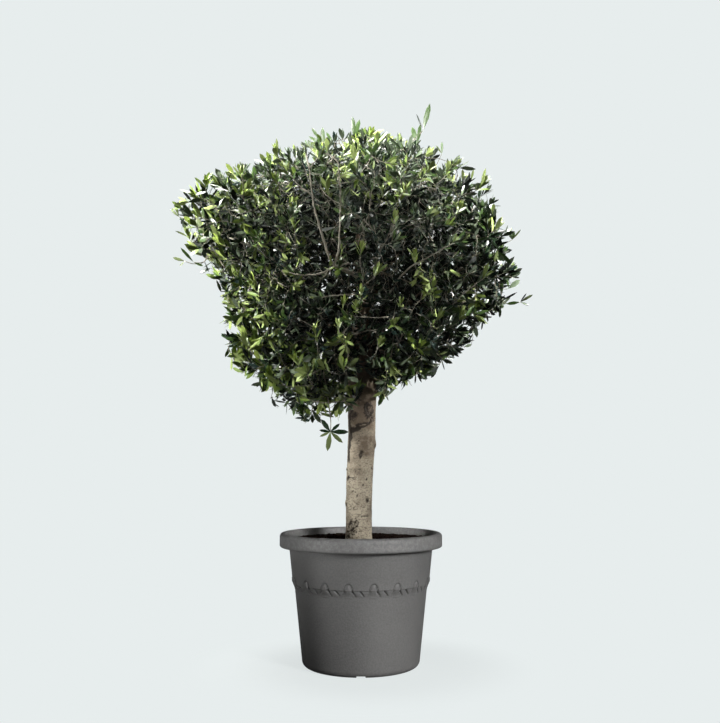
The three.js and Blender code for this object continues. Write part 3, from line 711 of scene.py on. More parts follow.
def cellRoom(mass, points):
    # room between points and the border of the mass's own part of space
    own = np.sum((points - mass["middle"]) ** 2, axis=-1)
    room = np.full(own.shape, 9.0)
    for other in masses:
        apart = np.linalg.norm(other["middle"] - mass["middle"])
        if apart > 0:
            lead = np.sum((points - other["middle"]) ** 2, axis=-1) - own
            room = np.minimum(room, lead / (2 * apart))
    return room


def inSpace(mass, points, margin):
    share = crownShare(points)
    fromTrunk = np.hypot(points[..., 0] - heart[0] / 2, points[..., 1])
    hollow = (points[..., 2] < heart[2]) & (fromTrunk < crown["hollowRadius"])
    return (share >= crown["hollow"]) & (share <= 1) & ~hollow & (cellRoom(mass, points) > margin)


def bentPath(start, direction, end, bend):
    return start, start + direction * bend * np.linalg.norm(end - start), end


def pathPoints(path, shares):
    start, middle, end = path
    share = np.asarray(shares, float)[:, None]
    return (1 - share) ** 2 * start + 2 * share * (1 - share) * middle + share**2 * end


def trunkPoint(height):
    rows = trunk["course"]
    return np.array([np.interp(height, rows[:, 0], rows[:, 1]), 0.0, height])


limbs = {"trunk": {"run": np.array([trunkPoint(row[0]) for row in trunk["course"]]), "start": 0.05}}


def growBough(mass, foot, direction):
    # from its foot towards the middle of its mass, up to where it enters the mass's space
    path = bentPath(foot, direction, mass["middle"], boughs["bend"])
    steps = 200
    line = pathPoints(path, np.arange(steps + 1) / steps)
    entry = round(boughs["least"] * steps)
    while entry < steps - 10 and not inSpace(mass, line[entry], crown["margin"]):
        entry += 1
    share = entry / steps
    run = pathPoints(path, np.array([0, 0.2, 0.4, 0.6, 0.8, 1]) * share)
    along = unit(run[-1] - run[-2])
    radius = mass["ring"]["bough"]
    tipRadius = radius * boughs["tipShare"]
    mass["stem"] = bentPath(run[-1] + along * 0.0003, along, mass["middle"], boughs["stemBend"])
    rings = max(int(np.linalg.norm(run[-1] - foot) / boughs["ringStep"]), 6)
    fine = pathPoints(path, np.linspace(0, share, rings))
    limbs[f"bough_{mass['name']}"] = {"run": run, "start": radius, "end": tipRadius, "fine": fine}


def limbPoint(name, share):
    run = limbs[f"bough_{name}"]["run"]
    place = share * (len(run) - 1)
    step = min(int(place), len(run) - 2)
    return run[step] + (run[step + 1] - run[step]) * (place - step)


def growBoughs():
    growBough(masses[-1], trunkPoint(1.040) + upward * 0.0003, upward)
    for name in ("mid", "low", "high"):
        rise = math.radians(boughs["rise"][name])
        for i, mass in enumerate(mass for mass in masses if mass["ring"]["name"] == name):
            if name == "mid":
                foot = trunkPoint(boughs["mainHeights"][i % 2])
            elif name == "low":
                feet = [limbPoint(f"mid_{number}", boughs["lowForks"]) for number in range(1, 7)]
                foot = min(feet, key=lambda point: np.linalg.norm(point - mass["middle"]))
            else:
                foot = limbPoint("top", boughs["leaderForks"][i])
            # away from the middle of the tree towards the mass
            way = unit(mass["middle"] * (1, 1, 0)) * math.cos(rise) + upward * math.sin(rise)
            growBough(mass, foot, way)


growBoughs()
limbParts = [(start, end - start, limb["start"]) for limb in limbs.values()
             for start, end in zip(limb["run"][:-1], limb["run"][1:])]


def limbRoom(points):
    # room between points and the nearest limb
    room = np.full(len(points), 9.0)
    for start, run, radius in limbParts:
        share = np.clip((points - start) @ run / (run @ run), 0, 1)
        distance = np.linalg.norm(points - start - share[:, None] * run, axis=1)
        room = np.minimum(room, distance - radius)
    return room


def pickTarget(mass, taken, draw, shallow, sunk=0.0):
    # the emptiest of a few seeded places in the mass's space, near the crown's outline or sunk below it
    draws = np.array([[draw() for _ in range(4)] for _ in range(crown["candidates"])])
    turn = 2 * math.pi * draws[:, 0]
    rise = 2 * draws[:, 1] - 1
    flat = np.sqrt(1 - rise * rise)
    arm = np.stack([flat * np.cos(turn), flat * np.sin(turn), rise], 1)
    outward = unit(mass["middle"] + arm * (0.260 * np.cbrt(draws[:, 2]))[:, None] - heart)
    depth = 1 - sunk - shallow * draws[:, 3]
    points = heart + outward * (depth * reachOf(outward))[:, None]
    points = points[inSpace(mass, points, 2 * crown["margin"])]
    if not len(points):
        return None
    room = np.linalg.norm(points[:, None] - np.array(taken)[None], axis=2).min(1)
    taken.append(points[np.argmax(room)])
    return taken[-1]


def woodNodes(run, picks, radii):
    # points of a run that later growth can fork from
    radii = np.broadcast_to(radii, len(run))
    return [{"point": run[i], "along": unit(run[i] - run[i - 1]), "radius": radii[i]} for i in picks]


def pickFork(nodes, target):
    # the existing point that a new twig leaves most naturally
    arms = target - np.array([node["point"] for node in nodes])
    lengths = np.linalg.norm(arms, axis=1)
    alongs = np.array([node["along"] for node in nodes])
    forward = np.sum(arms * alongs, axis=1) / np.maximum(lengths, 1e-9)
    return nodes[int(np.argmin(lengths * (1.7 - forward)))]


def growTwig(mass, nodes, end, towards, wood=None):
    # a twig of the solids; wood is the end of a shoot that stands out of the mass's space
    fork = pickFork(nodes, end - towards * twigs["tipGap"])
    path = bentPath(fork["point"], fork["along"], end - towards * twigs["tipGap"], twigs["bend"])
    run = pathPoints(path, [0, 0.5, 1])
    if wood is None:
        fits = inSpace(mass, run[1:], crown["margin"] + twigs["radius"]).all()
    else:
        fits = (cellRoom(mass, run[1:]) > crown["margin"]).all()
    if not fits or (limbRoom(run[1:]) < crown["limbClearance"] + twigs["radius"]).any():
        return []
    start = max(twigs["forkShare"] * fork["radius"], twigs["tipRadius"])
    nodes += woodNodes(run, (1, 2), start + (twigs["tipRadius"] - start) * np.arange(3) / 2)
    return [(path, start, end, towards, wood)]


# Foliage: the twigs of the solids, carried on to fine sprays with their leaves

sprays = {
    "perMass": {"low": 62, "mid": 70, "high": 64, "top": 52},
    # the inner sprays' near-black leaves are painted shade for the crown's depth
    "inner": 57,  # dark sprays in the depth of a mass
    "edge": 0.27,  # share of the outer sprays that end near the crown's outline
    "edgeDepth": 0.03,
    "notch": 0.085,  # depth of the notches in the crown's outline, as a share of its reach
    "notchScale": 17.0,
    "sunk": 0.085,  # how far below the outline the others end at least
    "shallow": 0.24,  # how far below that the others may end
    "deep": (0.24, 0.58),
    "highest": 0.985,  # share of the outline that no shoot leaves
    "rise": 1.45,  # how much a spray turns up towards the light
    "bend": 0.38, "wobble": 0.0025,
    "reach": 0.032,  # how far the leaves at a shoot's tip reach past it
    "radius": 0.0019, "tipRadius": 0.0008,
    "leafy": (0.08, 0.15),  # length of a spray that bears leaves
    "bare": 0.35,  # share of the sprays with leaves at their tip only
    "sideShoots": 2, "sideLength": (0.030, 0.075), "sideRadii": (0.0012, 0.001, 0.0008),
    "rosette": 0.965,  # share of the way to the outline at which a rosette ends
    "rosetteLeafy": 0.036, "shootLeafy": 0.045,
    "seed": 11,
}

leaf = {
    "young": {"lengths": (0.028, 0.038, 0.043, 0.042), "splays": (8, 16, 25, 36),
              "gaps": (0.003, 0.006, 0.009, 0.012), "width": 0.31,
              "rows": ((0.13, 0.34), (0.45, 0.94), (0.78, 0.80))},  # place along, share of the width
    "old": {"lengths": (0.038,), "splays": (52,), "gaps": (0.0110,), "width": 0.28,
            "rows": ((0.27, 0.86), (0.68, 0.88))},
    "pairs": 4,  # of young leaves
    "lengthSpread": 0.16, "widthSpread": 0.14, "splaySpread": 8,
    "lift": 0.42,  # how much a leaf turns up towards the light
    "crown": 0.10,  # height of the arched back, as a share of the width
    "rollUnder": 0.07,
    "overlap": 0.035,  # how far leaves may reach into the next mass's space
    "silver": 0.14,  # share of the old leaves whose underside is pale
    "dropped": 0.2,  # share of the old leaves that have fallen
}

leafColors = {  # dealt out by spray: the plain colour, roughness, gloss and the next darker one
    "young": ((0.165, 0.222, 0.032, 1), 0.48, 0.5, "lime"),
    "lime": ((0.098, 0.148, 0.021, 1), 0.42, 0.5, "green"),
    "olive": ((0.066, 0.088, 0.026, 1), 0.44, 0.5, "green"),
    "green": ((0.032, 0.062, 0.013, 1), 0.34, 0.38, "deep"),
    "deep": ((0.0065, 0.0145, 0.006, 1), 0.27, 0.22, "shade"),
    # shade and underShade are near-black, painted shade for the crown's depth
    "shade": ((0.003, 0.0045, 0.0030, 1), 0.5, 0.05, "shade"),
    "blue": ((0.009, 0.018, 0.015, 1), 0.24, 0.30, "deep"),
    "grey": ((0.090, 0.128, 0.070, 1), 0.46, 0.5, "green"),
    "under": ((0.048, 0.064, 0.038, 1), 0.78, 0.2, None),
    "underYoung": ((0.150, 0.190, 0.060, 1), 0.78, 0.2, None),
    "underShade": ((0.006, 0.009, 0.006, 1), 0.78, 0.2, None),
}


def darker(color):
    return leafColors[color][3]


def sizeAt(place):
    # leaves are larger round the crown's edge as seen from the front
    edge = math.hypot(place[0] - heart[0], place[2] - heart[2]) / 0.5
    return 0.86 + 0.42 * smoothStep(edge, 0.55, 1.05)


def makeLeafMaterial(name, color, roughness, gloss):
    material, tree, shader = startMaterial(f"leaf_{name}")
    grain = placeGroup(tree, fineGrain, {"Grain Scale": 900.0, "Cloud Scale": 60.0})
    rough = addScaled(tree, grain["Cloud"], 0.14, roughness - 0.06)
    setInputs(tree, shader, {"Base Color": color, "Roughness": rough, "Specular IOR Level": gloss})
    return material


def dealColors(place, random):
    # colours of a spray's young leaves and of its old ones, and the size of the young ones: bright to the
    # left, paler at the top, and dark round the crown's upright middle. Partly the leaves' own colours and
    # partly painted light: the dark middle is painted shade, and the brighter leaves at the outline and to
    # the lower left and the paler ones at the top are painted light
    side = np.clip((heart[0] - place[0]) / 0.5, -1, 1)
    height = np.clip((place[2] - heart[2]) / 0.5, -1, 1)
    middle = math.exp(-((place[0] - 0.05) / 0.31) ** 2 - ((place[2] - 1.27) / 0.30) ** 2)
    # painted light at the outline and to the lower left, painted shade round the middle
    edge = smoothStep(crownShare(place), 0.80, 0.93)
    youngAndLitShare = np.clip(0.22 + 0.16 * side + 0.06 * height - 0.20 * middle + 0.16 * edge, 0.06, 0.7)
    youngAndLitShare += 0.30 * max(side, 0) * smoothStep(-height, -0.1, 0.5)
    paleAndLitShare = np.clip(0.10 + 0.60 * height, 0.0, 0.65)
    old = random.choice(["deep", "shade", "blue", "deep"])
    lot = random.random()
    if lot < youngAndLitShare * 0.6:
        return "young", random.choice(["lime", "green", "deep"]), 1.0
    if lot < youngAndLitShare:
        return "lime", random.choice(["green", "deep"]), 1.0
    if lot < youngAndLitShare + (1 - youngAndLitShare) * paleAndLitShare:
        return "grey", random.choice(["grey", "green", "green"]), 0.95
    # painted light and shade: green and olive more often at the outline, less round the middle
    if random.random() < 0.40 + 0.35 * edge - 0.28 * middle:
        return random.choice(["green", "green", "olive"]), old, 0.9
    return random.choice(["deep", "blue"]), old, 0.8


class Bunch:
    # everything that grows on one mass
    def __init__(self, mass):
        self.mass = mass
        self.tubes = []  # run, radii, sides
        self.leaves = []  # foot, way, face, size, colour, kind, width, free of the mass's space
        self.nodes = []


def bunchAt(bunches, place):
    return max(bunches, key=lambda bunch: cellRoom(bunch.mass, place))


def growSpray(bunch, run, leafy, colors, random, free=False, large=1.0):
    # opposite pairs of leaves down a shoot from its tip, each turned a quarter from the last: a close
    # rosette of young leaves, then old ones that stand further apart
    lengths = np.concatenate([[0], np.cumsum(np.linalg.norm(np.diff(run, axis=0), axis=1))])
    quarter = random.random() * math.pi
    place = lengths[-1] - 0.002
    outward = unit(run[-1] - heart)
    large = large * sizeAt(run[-1])
    nodes = []
    while place > max(lengths[-1] - leafy, 0.010):
        foot = np.array([np.interp(place, lengths, run[:, axis]) for axis in range(3)])
        step = min(max(int(np.searchsorted(lengths, place)), 1), len(run) - 1)
        along = unit(run[step] - run[step - 1])
        side = unit(np.cross(along, [1.0, 0, 0] if abs(along[2]) > 0.9 else upward))
        arm = side * math.cos(quarter) + np.cross(along, side) * math.sin(quarter)
        index = len(nodes)
        young = index < leaf["pairs"]
        name = "young" if young else "old"
        kind = leaf[name]
        row = min(index, len(kind["lengths"]) - 1)
        for way in (1, -1):
            if not young and random.random() < leaf["dropped"]:
                continue
            angle = math.radians(kind["splays"][row] + random.normal(0, leaf["splaySpread"]))
            towards = along * math.cos(angle) + arm * way * math.sin(angle)
            towards = unit(towards + upward * leaf["lift"] + random.normal(0, 0.07, 3))
            inner = along * math.sin(angle) - arm * way * math.cos(angle)
            face = inner + upward * 0.3 + outward * 0.2 + random.normal(0, 0.25, 3)
            size = kind["lengths"][row] * large * (1 + random.normal(0, leaf["lengthSpread"]))
            color = colors[0 if young else 1]
            if young and index > 0 and random.random() < 0.3 * index:
                color = darker(color)
            bunch.leaves.append((foot, towards, face, size, color, name, kind["width"], free))
        nodes.append((foot, along, arm))
        place -= kind["gaps"][row] * random.uniform(0.8, 1.3)
        quarter += math.pi / 2
    return nodes


def growTwigs(bunch, taken, draw):
    # the stem and the twigs of the solids, each carried on to its own tip; gives the runs that bear leaves,
    # each with whether it is an outer one
    mass = bunch.mass
    stemRun = pathPoints(mass["stem"], [0, 0.5, 1])
    nodes = woodNodes(stemRun, (1, 2), boughs["stemEnd"])
    grown = []
    for _ in range(mass["ring"]["twigs"]):
        end = pickTarget(mass, taken, draw, twigs["depth"])
        if end is not None:
            grown += growTwig(mass, nodes, end, unit(unit(end - heart) + unit(end - mass["middle"])))
    for tip, way, wood in shoots:
        if cellRoom(mass, np.array(tip)) > 0:
            grown += growTwig(mass, nodes, np.array(tip), unit(np.array(way, float)), np.array(wood))
    stemRadii = np.linspace(mass["ring"]["bough"] * boughs["tipShare"], boughs["stemEnd"] * 0.8, 9)
    bunch.tubes.append((pathPoints(mass["stem"], np.linspace(0, 1, 9)), stemRadii, 10))
    bunch.nodes = woodNodes(stemRun, (1, 2), 0.004)
    lines = []
    for path, start, end, towards, wood in grown:
        line = pathPoints(path, np.linspace(0, 1, 6))
        last = end - towards * sprays["reach"] if wood is None else wood
        tail = pathPoints(bentPath(line[-1], unit(line[-1] - line[-2]), last, 0.4), [0.35, 0.7, 1])
        run = np.concatenate([line, tail])
        radii = np.interp(np.linspace(0, 1, 9), [0, 0.5, 1], [start * 0.8, 0.0022, sprays["tipRadius"]])
        bunch.tubes.append((run, radii, 6))
        if wood is None:
            lines.append((run, True))
            bunch.nodes += woodNodes(run, range(2, 7), radii)
        else:
            bunch.nodes += woodNodes(run, (5, 7, 8), 0.001)
    return lines


def sprayTarget(mass, taken, draw, share):
    # the share runs from 0 to 1 through the outer sprays, and the inner ones come after them
    if share >= 1:
        low, high = sprays["deep"]
        return pickTarget(mass, taken, draw, high - low, low)
    if share < sprays["edge"]:
        end = pickTarget(mass, taken, draw, sprays["edgeDepth"])
    else:
        end = pickTarget(mass, taken, draw, sprays["shallow"], sprays["sunk"])
    if end is None:
        return None
    return heart + (end - heart) * min(1.0, notchShare(end[None])[0] / crownShare(end))


def growSprays(bunch, taken, draw, random):
    # sprays between the twigs; gives their runs in the same way
    lines = []
    count = sprays["perMass"][bunch.mass["ring"]["name"]]
    for number in range(count + sprays["inner"]):
        end = sprayTarget(bunch.mass, taken, draw, number / count)
        if end is None:
            continue
        fork = pickFork(bunch.nodes, end)
        towards = 0.7 * unit(end - heart) + 0.6 * unit(end - fork["point"])
        tip = end - unit(towards + upward * sprays["rise"]) * sprays["reach"]
        path = bentPath(fork["point"], fork["along"], tip, sprays["bend"])
        run = pathPoints(path, np.linspace(0, 1, 7))
        wobble = random.normal(0, sprays["wobble"], run.shape)
        wobble[[0, -1]] = 0
        run = run + wobble
        nearLimb = (limbRoom(run[2:]) < crown["limbClearance"]).any()
        if nearLimb or (crownShare(run[1:]) > sprays["highest"]).any():
            continue
        radii = np.linspace(min(max(fork["radius"] * 0.8, 0.0012), sprays["radius"]), sprays["tipRadius"], 7)
        bunch.tubes.append((run, radii, 5))
        bunch.nodes += woodNodes(run, (3, 5), radii)
        lines.append((run, number < count))
    return lines


def growMass(mass):
    bunch = Bunch(mass)
    random = np.random.default_rng(sprays["seed"] + mass["seed"])
    draw = makeRandom(mass["seed"])
    taken = [mass["middle"]]
    for run, outer in growTwigs(bunch, taken, draw) + growSprays(bunch, taken, draw, random):
        # inner sprays take near-black deep and shade leaves: painted shade
        young, old, large = dealColors(run[-1], random) if outer else ("deep", "shade", 0.92)
        leafy = 0.03 if random.random() < sprays["bare"] else random.uniform(*sprays["leafy"])
        places = growSpray(bunch, run, leafy, (young, old), random, False, large)
        for pick in random.permutation(len(places))[: sprays["sideShoots"]]:
            if pick < 2:
                continue
            foot, along, arm = places[pick]
            way = unit(along * 0.7 + arm * random.choice([-1, 1]) * 0.7 + upward * 0.7)
            length = random.uniform(*sprays["sideLength"])
            side = np.stack([foot, foot + (along * 0.3 + way * 0.7) * length * 0.5, foot + way * length])
            far = side[-1] + way * 0.03
            if crownShare(far) <= notchShare(far[None])[0]:
                bunch.tubes.append((side, sprays["sideRadii"], 4))
                growSpray(bunch, side, length, (young, old), random, False, 0.85 * large)
    return bunch


def placeInFront(x, z, share):
    # the place before the heart with this X and height, at a share of the way to the crown's outline
    near, far = 0.0, -0.7
    for _ in range(20):
        middle = (near + far) / 2
        if crownShare(np.array([x, middle, z])) < share:
            near = middle
        else:
            far = middle
    return np.array([x, near, z])


def nearestWood(bunches, place, stout):
    # the nearest grown point that a shoot can fork from; a stout one only forks from a limb
    points = [point for limb in limbs.values() for point in limb.get("fine", limb["run"])]
    if not stout:
        points += [node["point"] for bunch in bunches for node in bunch.nodes]
    return points[np.argmin(np.linalg.norm(np.array(points) - place, axis=1))]


def growFrontShoot(bunches, ends, spots, random):
    places = [placeInFront(x / 1000, z / 1000, share / 100) for x, z, share in spots]
    bunch = bunchAt(bunches, places[1])
    if spots[0][2] < 70:
        places[0] = nearestWood(bunches, places[0], ends[0] > 0.005)
    fine = np.linspace(0, len(places) - 1, 5 * len(places))
    run = [np.interp(fine, np.arange(len(places)), np.array(places)[:, axis]) for axis in range(3)]
    run = np.stack(run, 1)
    for _ in range(3):
        run[1:-1] = (run[:-2] + 2 * run[1:-1] + run[2:]) / 4
    run[1:-1] += random.normal(0, 0.0009, run[1:-1].shape)
    radii = np.linspace(*ends, len(run)) * random.uniform(0.9, 1.15, len(run))
    bunch.tubes.append((run, radii, 7))
    if ends[1] < 0.003:
        growSpray(bunch, run, sprays["shootLeafy"], ("lime", "green"), random, True, 0.9)


def addStalk(bunch, fork, tip, towards, radii):
    # a thin stalk from a fork to its tip; gives its run
    knee = tip - towards * 0.35 * np.linalg.norm(tip - fork["point"])
    run = pathPoints((fork["point"], knee, tip), np.linspace(0, 1, 6))
    bunch.tubes.append((run, np.linspace(*radii, 6), 5))
    return run


def growRosette(bunches, x, z, size, random):
    tip = placeInFront(x / 1000, z / 1000, sprays["rosette"])
    bunch = bunchAt(bunches, tip)
    below = [node for node in bunch.nodes
             if node["point"][2] < tip[2] - 0.015 and crownShare(node["point"]) < 0.95]
    fork = min(below or bunch.nodes, key=lambda node: np.linalg.norm(node["point"] - tip))
    towards = unit(unit(tip - heart) * 0.45 + upward + random.normal(0, 0.2, 3))
    run = addStalk(bunch, fork, tip, towards, (0.0015, sprays["tipRadius"]))
    growSpray(bunch, run, sprays["rosetteLeafy"], ("young", "lime"), random, True, 0.9 * size)


def growSprig(bunches, node, leaves, random):
    node = np.array(node) / 1000
    bunch = bunchAt(bunches, node)
    outward = unit(node - heart)
    below = [wood for wood in bunch.nodes if (wood["point"] - node) @ outward < 0.002]
    fork = min(below, key=lambda wood: np.linalg.norm(wood["point"] - node + outward * 0.03))
    if np.linalg.norm(fork["point"] - node) > 0.004:
        addStalk(bunch, fork, node, unit(outward + upward * 0.5), (0.0014, 0.0009))
    for turn, length, width, color in leaves:
        # painted shade: high sprigs, where the lamps light them most, take the next darker colour
        if node[2] > 1.76:
            color = darker(color)
        turn = math.radians(turn)
        way = unit(np.array([math.cos(turn), random.uniform(-0.25, 0.1), math.sin(turn)]))
        face = np.array([random.uniform(-0.3, 0.3), -1, random.uniform(-0.15, 0.25)])
        bunch.leaves.append((node, way, face, length / 1000, color, "young", width / 100, True))


def leafTemplate(rows):
    # one closed leaf of unit length and unit half width: arched back, flat belly, pointed at both ends;
    # its codes are 0 at the ends, 1 and 2 at the edges and 3 on the back
    places = [(0.0, 0.0, 0.0)]
    top, belly = [(0, 3, 2), (0, 2, 1)], [(0, 1, 3)]
    for row, (along, width) in enumerate(rows):
        places += [(along, width, -width), (along, 0.0, width), (along, -width, -width)]
        left, back, right = 1 + 3 * row, 2 + 3 * row, 3 + 3 * row
        if row < len(rows) - 1:
            top += [(right, right + 3, back + 3), (right, back + 3, back)]
            top += [(back, back + 3, left + 3), (back, left + 3, left)]
            belly += [(right, left, left + 3), (right, left + 3, right + 3)]
    top += [(right, right + 1, back), (back, right + 1, left)]
    belly.append((right, left, right + 1))
    places.append((1.0, 0.0, 0.0))
    return np.array(places), np.array([0] + [1, 3, 2] * len(rows) + [0]), np.array(top), np.array(belly)


def spreadLeaves(kind, foot, way, face, size, width, topIndex, bellyIndex, random):
    # one template set on every foot, with a little of its own width and bend each
    template, codes, top, belly = leafTemplate(kind["rows"])
    count = len(foot)
    half = 0.5 * width * size * (1 + random.normal(0, leaf["widthSpread"], count))
    bend = random.normal(-0.10, 0.10, count) * size
    x, y, z = template.T
    lift = np.where(z > 0, z * leaf["crown"], z * leaf["rollUnder"])
    height = half[:, None] * lift + bend[:, None] * (x * x)
    places = (
        foot[:, None]
        + way[:, None] * (size[:, None] * x)[:, :, None]
        + np.cross(face, way)[:, None] * (half[:, None] * y)[:, :, None]
        + face[:, None] * height[:, :, None]
    )
    perLeaf = np.concatenate([top, belly])
    triangles = (perLeaf + (np.arange(count) * len(template))[:, None, None]).reshape(-1, 3)
    index = np.repeat(np.stack([topIndex, bellyIndex], 1), (len(top), len(belly)), 1).ravel()
    return places.reshape(-1, 3), triangles, index, np.tile(codes, count)


def leafMesh(bunches, random):
    # every leaf of several masses as one set of triangles, with the colour of each triangle
    gathered = []
    for bunch in bunches:
        *columns, free = [np.array(column) for column in zip(*bunch.leaves)]
        foot, way, size = columns[0], columns[1], columns[3]
        tip = foot + way * size[:, None]
        fits = free | ((crownShare(tip) < 1.0) & (cellRoom(bunch.mass, tip) > -leaf["overlap"]))
        for end in (foot, tip):
            fits &= (np.hypot(end[:, 0] - 0.005, end[:, 1]) > 0.056) | (end[:, 2] > 1.06)
        gathered.append([column[fits] for column in columns])
    foot, way, face, size, color, kinds, width = [np.concatenate(columns) for columns in zip(*gathered)]
    face = unit(face - way * np.sum(face * way, axis=1, keepdims=True))
    names = list(leafColors)
    topIndex = np.array([names.index(name) for name in color])
    silver = random.random(len(foot)) < leaf["silver"]
    youngish = np.isin(color, ["young", "lime"])
    shaded = np.isin(color, ["shade", "deep"]) & ~silver
    young, shade, plain = [names.index(name) for name in ("underYoung", "underShade", "under")]
    bellyIndex = np.where(youngish, young, np.where(shaded, shade, plain))
    parts, count = [], 0
    for name in ("young", "old"):
        chosen = [column[kinds == name] for column in (foot, way, face, size, width, topIndex, bellyIndex)]
        places, triangles, index, codes = spreadLeaves(leaf[name], *chosen, random)
        parts.append((places, triangles + count, index, codes))
        count += len(places)
    return [np.concatenate(columns) for columns in zip(*parts)]


def sharpenOutline(piece, codes):
    # the rim of each leaf is a sharp edge between its glossy back and its dull belly
    mesh = piece.data
    ends = np.empty(len(mesh.edges) * 2, np.int32)
    mesh.edges.foreach_get("vertices", ends)
    low, high = np.sort(codes[ends.reshape(-1, 2)], axis=1).T
    sharp = ((low == 0) & (high < 3)) | ((low == high) & (low > 0) & (low < 3))
    attribute = mesh.attributes.new("sharp_edge", "BOOLEAN", "EDGE")
    attribute.data.foreach_set("value", sharp)


def makeTwigMaterial():
    material, tree, shader = startMaterial("twigBark")
    bark = placeGroup(tree, oliveBark, {"Pale": (0.18, 0.170, 0.137, 1), "Brown": (0.100, 0.088, 0.064, 1),
                                        "Age": 0.05, "Scale": 2.0})
    setInputs(tree, shader, {"Base Color": bark["Color"], "Roughness": bark["Roughness"],
                             "Specular IOR Level": 0.3})
    return material


def makeFoliage():
    leafMaterials = [makeLeafMaterial(name, *values[:3]) for name, values in leafColors.items()]
    twigMaterial = makeTwigMaterial()
    random = np.random.default_rng(sprays["seed"])
    grown = [growMass(mass) for mass in masses]
    for ends, *spots in frontShoots:
        growFrontShoot(grown, ends, spots, random)
    for rosette in rosettes:
        growRosette(grown, *rosette, random)
    for node, *leaves in sprigs:
        growSprig(grown, node, leaves, random)
    for ring in massRings:
        own = [bunch for bunch in grown if bunch.mass["ring"] is ring]
        for part in range(0, len(own), 3):
            bunches = own[part:part + 3]
            label = f"{ring['name']}_{part // 3 + 1}"
            places, triangles, index, codes = leafMesh(bunches, random)
            piece = makePiece(f"leaves_{label}", places, triangles, leafMaterials, index)
            sharpenOutline(piece, codes)
            dressPiece(piece, [f"foliage_{bunch.mass['name']}" for bunch in bunches])
            skins = [skinRings(tubeRings(*tube)) for bunch in bunches for tube in bunch.tubes]
            dressPiece(makePiece(f"twigs_{label}", *joinSkins(skins), [twigMaterial]))


makeFoliage()


# Trunk and boughs

marks = {  # height, turn from the front in degrees, half width, half height
    "rings": [(0.850, 27, 0.017, 0.023), (0.60, 175, 0.016, 0.022)],
    "patches": [(0.834, -42, 0.012, 0.020), (0.838, 47, 0.013, 0.026), (0.705, 1, 0.010, 0.012),
                (0.458, -27, 0.024, 0.030), (0.430, -45, 0.018, 0.016), (0.905, -20, 0.014, 0.030),
                (0.86, 140, 0.014, 0.030), (0.50, -130, 0.014, 0.022)],
    "knots": [(0.705, 1, 0.0085, 0.0095), (0.546, 41, 0.006, 0.009), (0.830, -34, 0.013, 0.018),
              (0.77, -150, 0.009, 0.012), (0.58, 110, 0.008, 0.010)],
    "bumps": [(0.732, 88, 0.010, 0.013), (0.650, -70, 0.005, 0.006), (0.619, -60, 0.006, 0.006),
              (0.535, -68, 0.007, 0.012), (0.653, 67, 0.005, 0.006), (0.554, 38, 0.005, 0.005)],
    "spots": [(0.690, -2, 0.0045, 0.0075), (0.616, 34, 0.0038, 0.006), (0.596, 19, 0.0034, 0.005),
              (0.64, -20, 0.002, 0.003), (0.652, 57, 0.0035, 0.005), (0.622, -52, 0.005, 0.006),
              (0.56, -8, 0.003, 0.004), (0.745, -12, 0.003, 0.003), (0.52, -22, 0.0025, 0.0035)],
    "cracks": [  # height and turn of both ends, width
        ((0.780, -45), (0.788, -14), 0.0085), ((0.790, -20), (0.793, 10), 0.0030),
        ((0.797, -26), (0.806, 14), 0.0030), ((0.792, 8), (0.802, 30), 0.0026),
        ((0.804, 12), (0.806, 34), 0.0026), ((0.804, 32), (0.826, 40), 0.0022),
        ((0.493, 11), (0.492, 47), 0.0013), ((0.62, -48), (0.618, -20), 0.0014),
        ((0.73, 150), (0.72, 200), 0.0040), ((0.52, -160), (0.535, -120), 0.0022),
        ((0.648, -10), (0.650, 8), 0.0011), ((0.575, -30), (0.573, -14), 0.0011),
    ],
    "stripe": (-60, 0.668, 0.885, 0.0100),  # turn, from height, to height, half width
    "ragged": ((0.42, 70), (0.32, 210)),  # how ragged their outlines are
    "color": (0.020, 0.015, 0.011, 1),
}

barkRelief = {"coarse": 0.0013, "fine": 0.0006, "patch": 0.0022, "knot": 0.0035, "bump": 0.0042,
              "crack": 0.0032, "stripe": 0.0016}


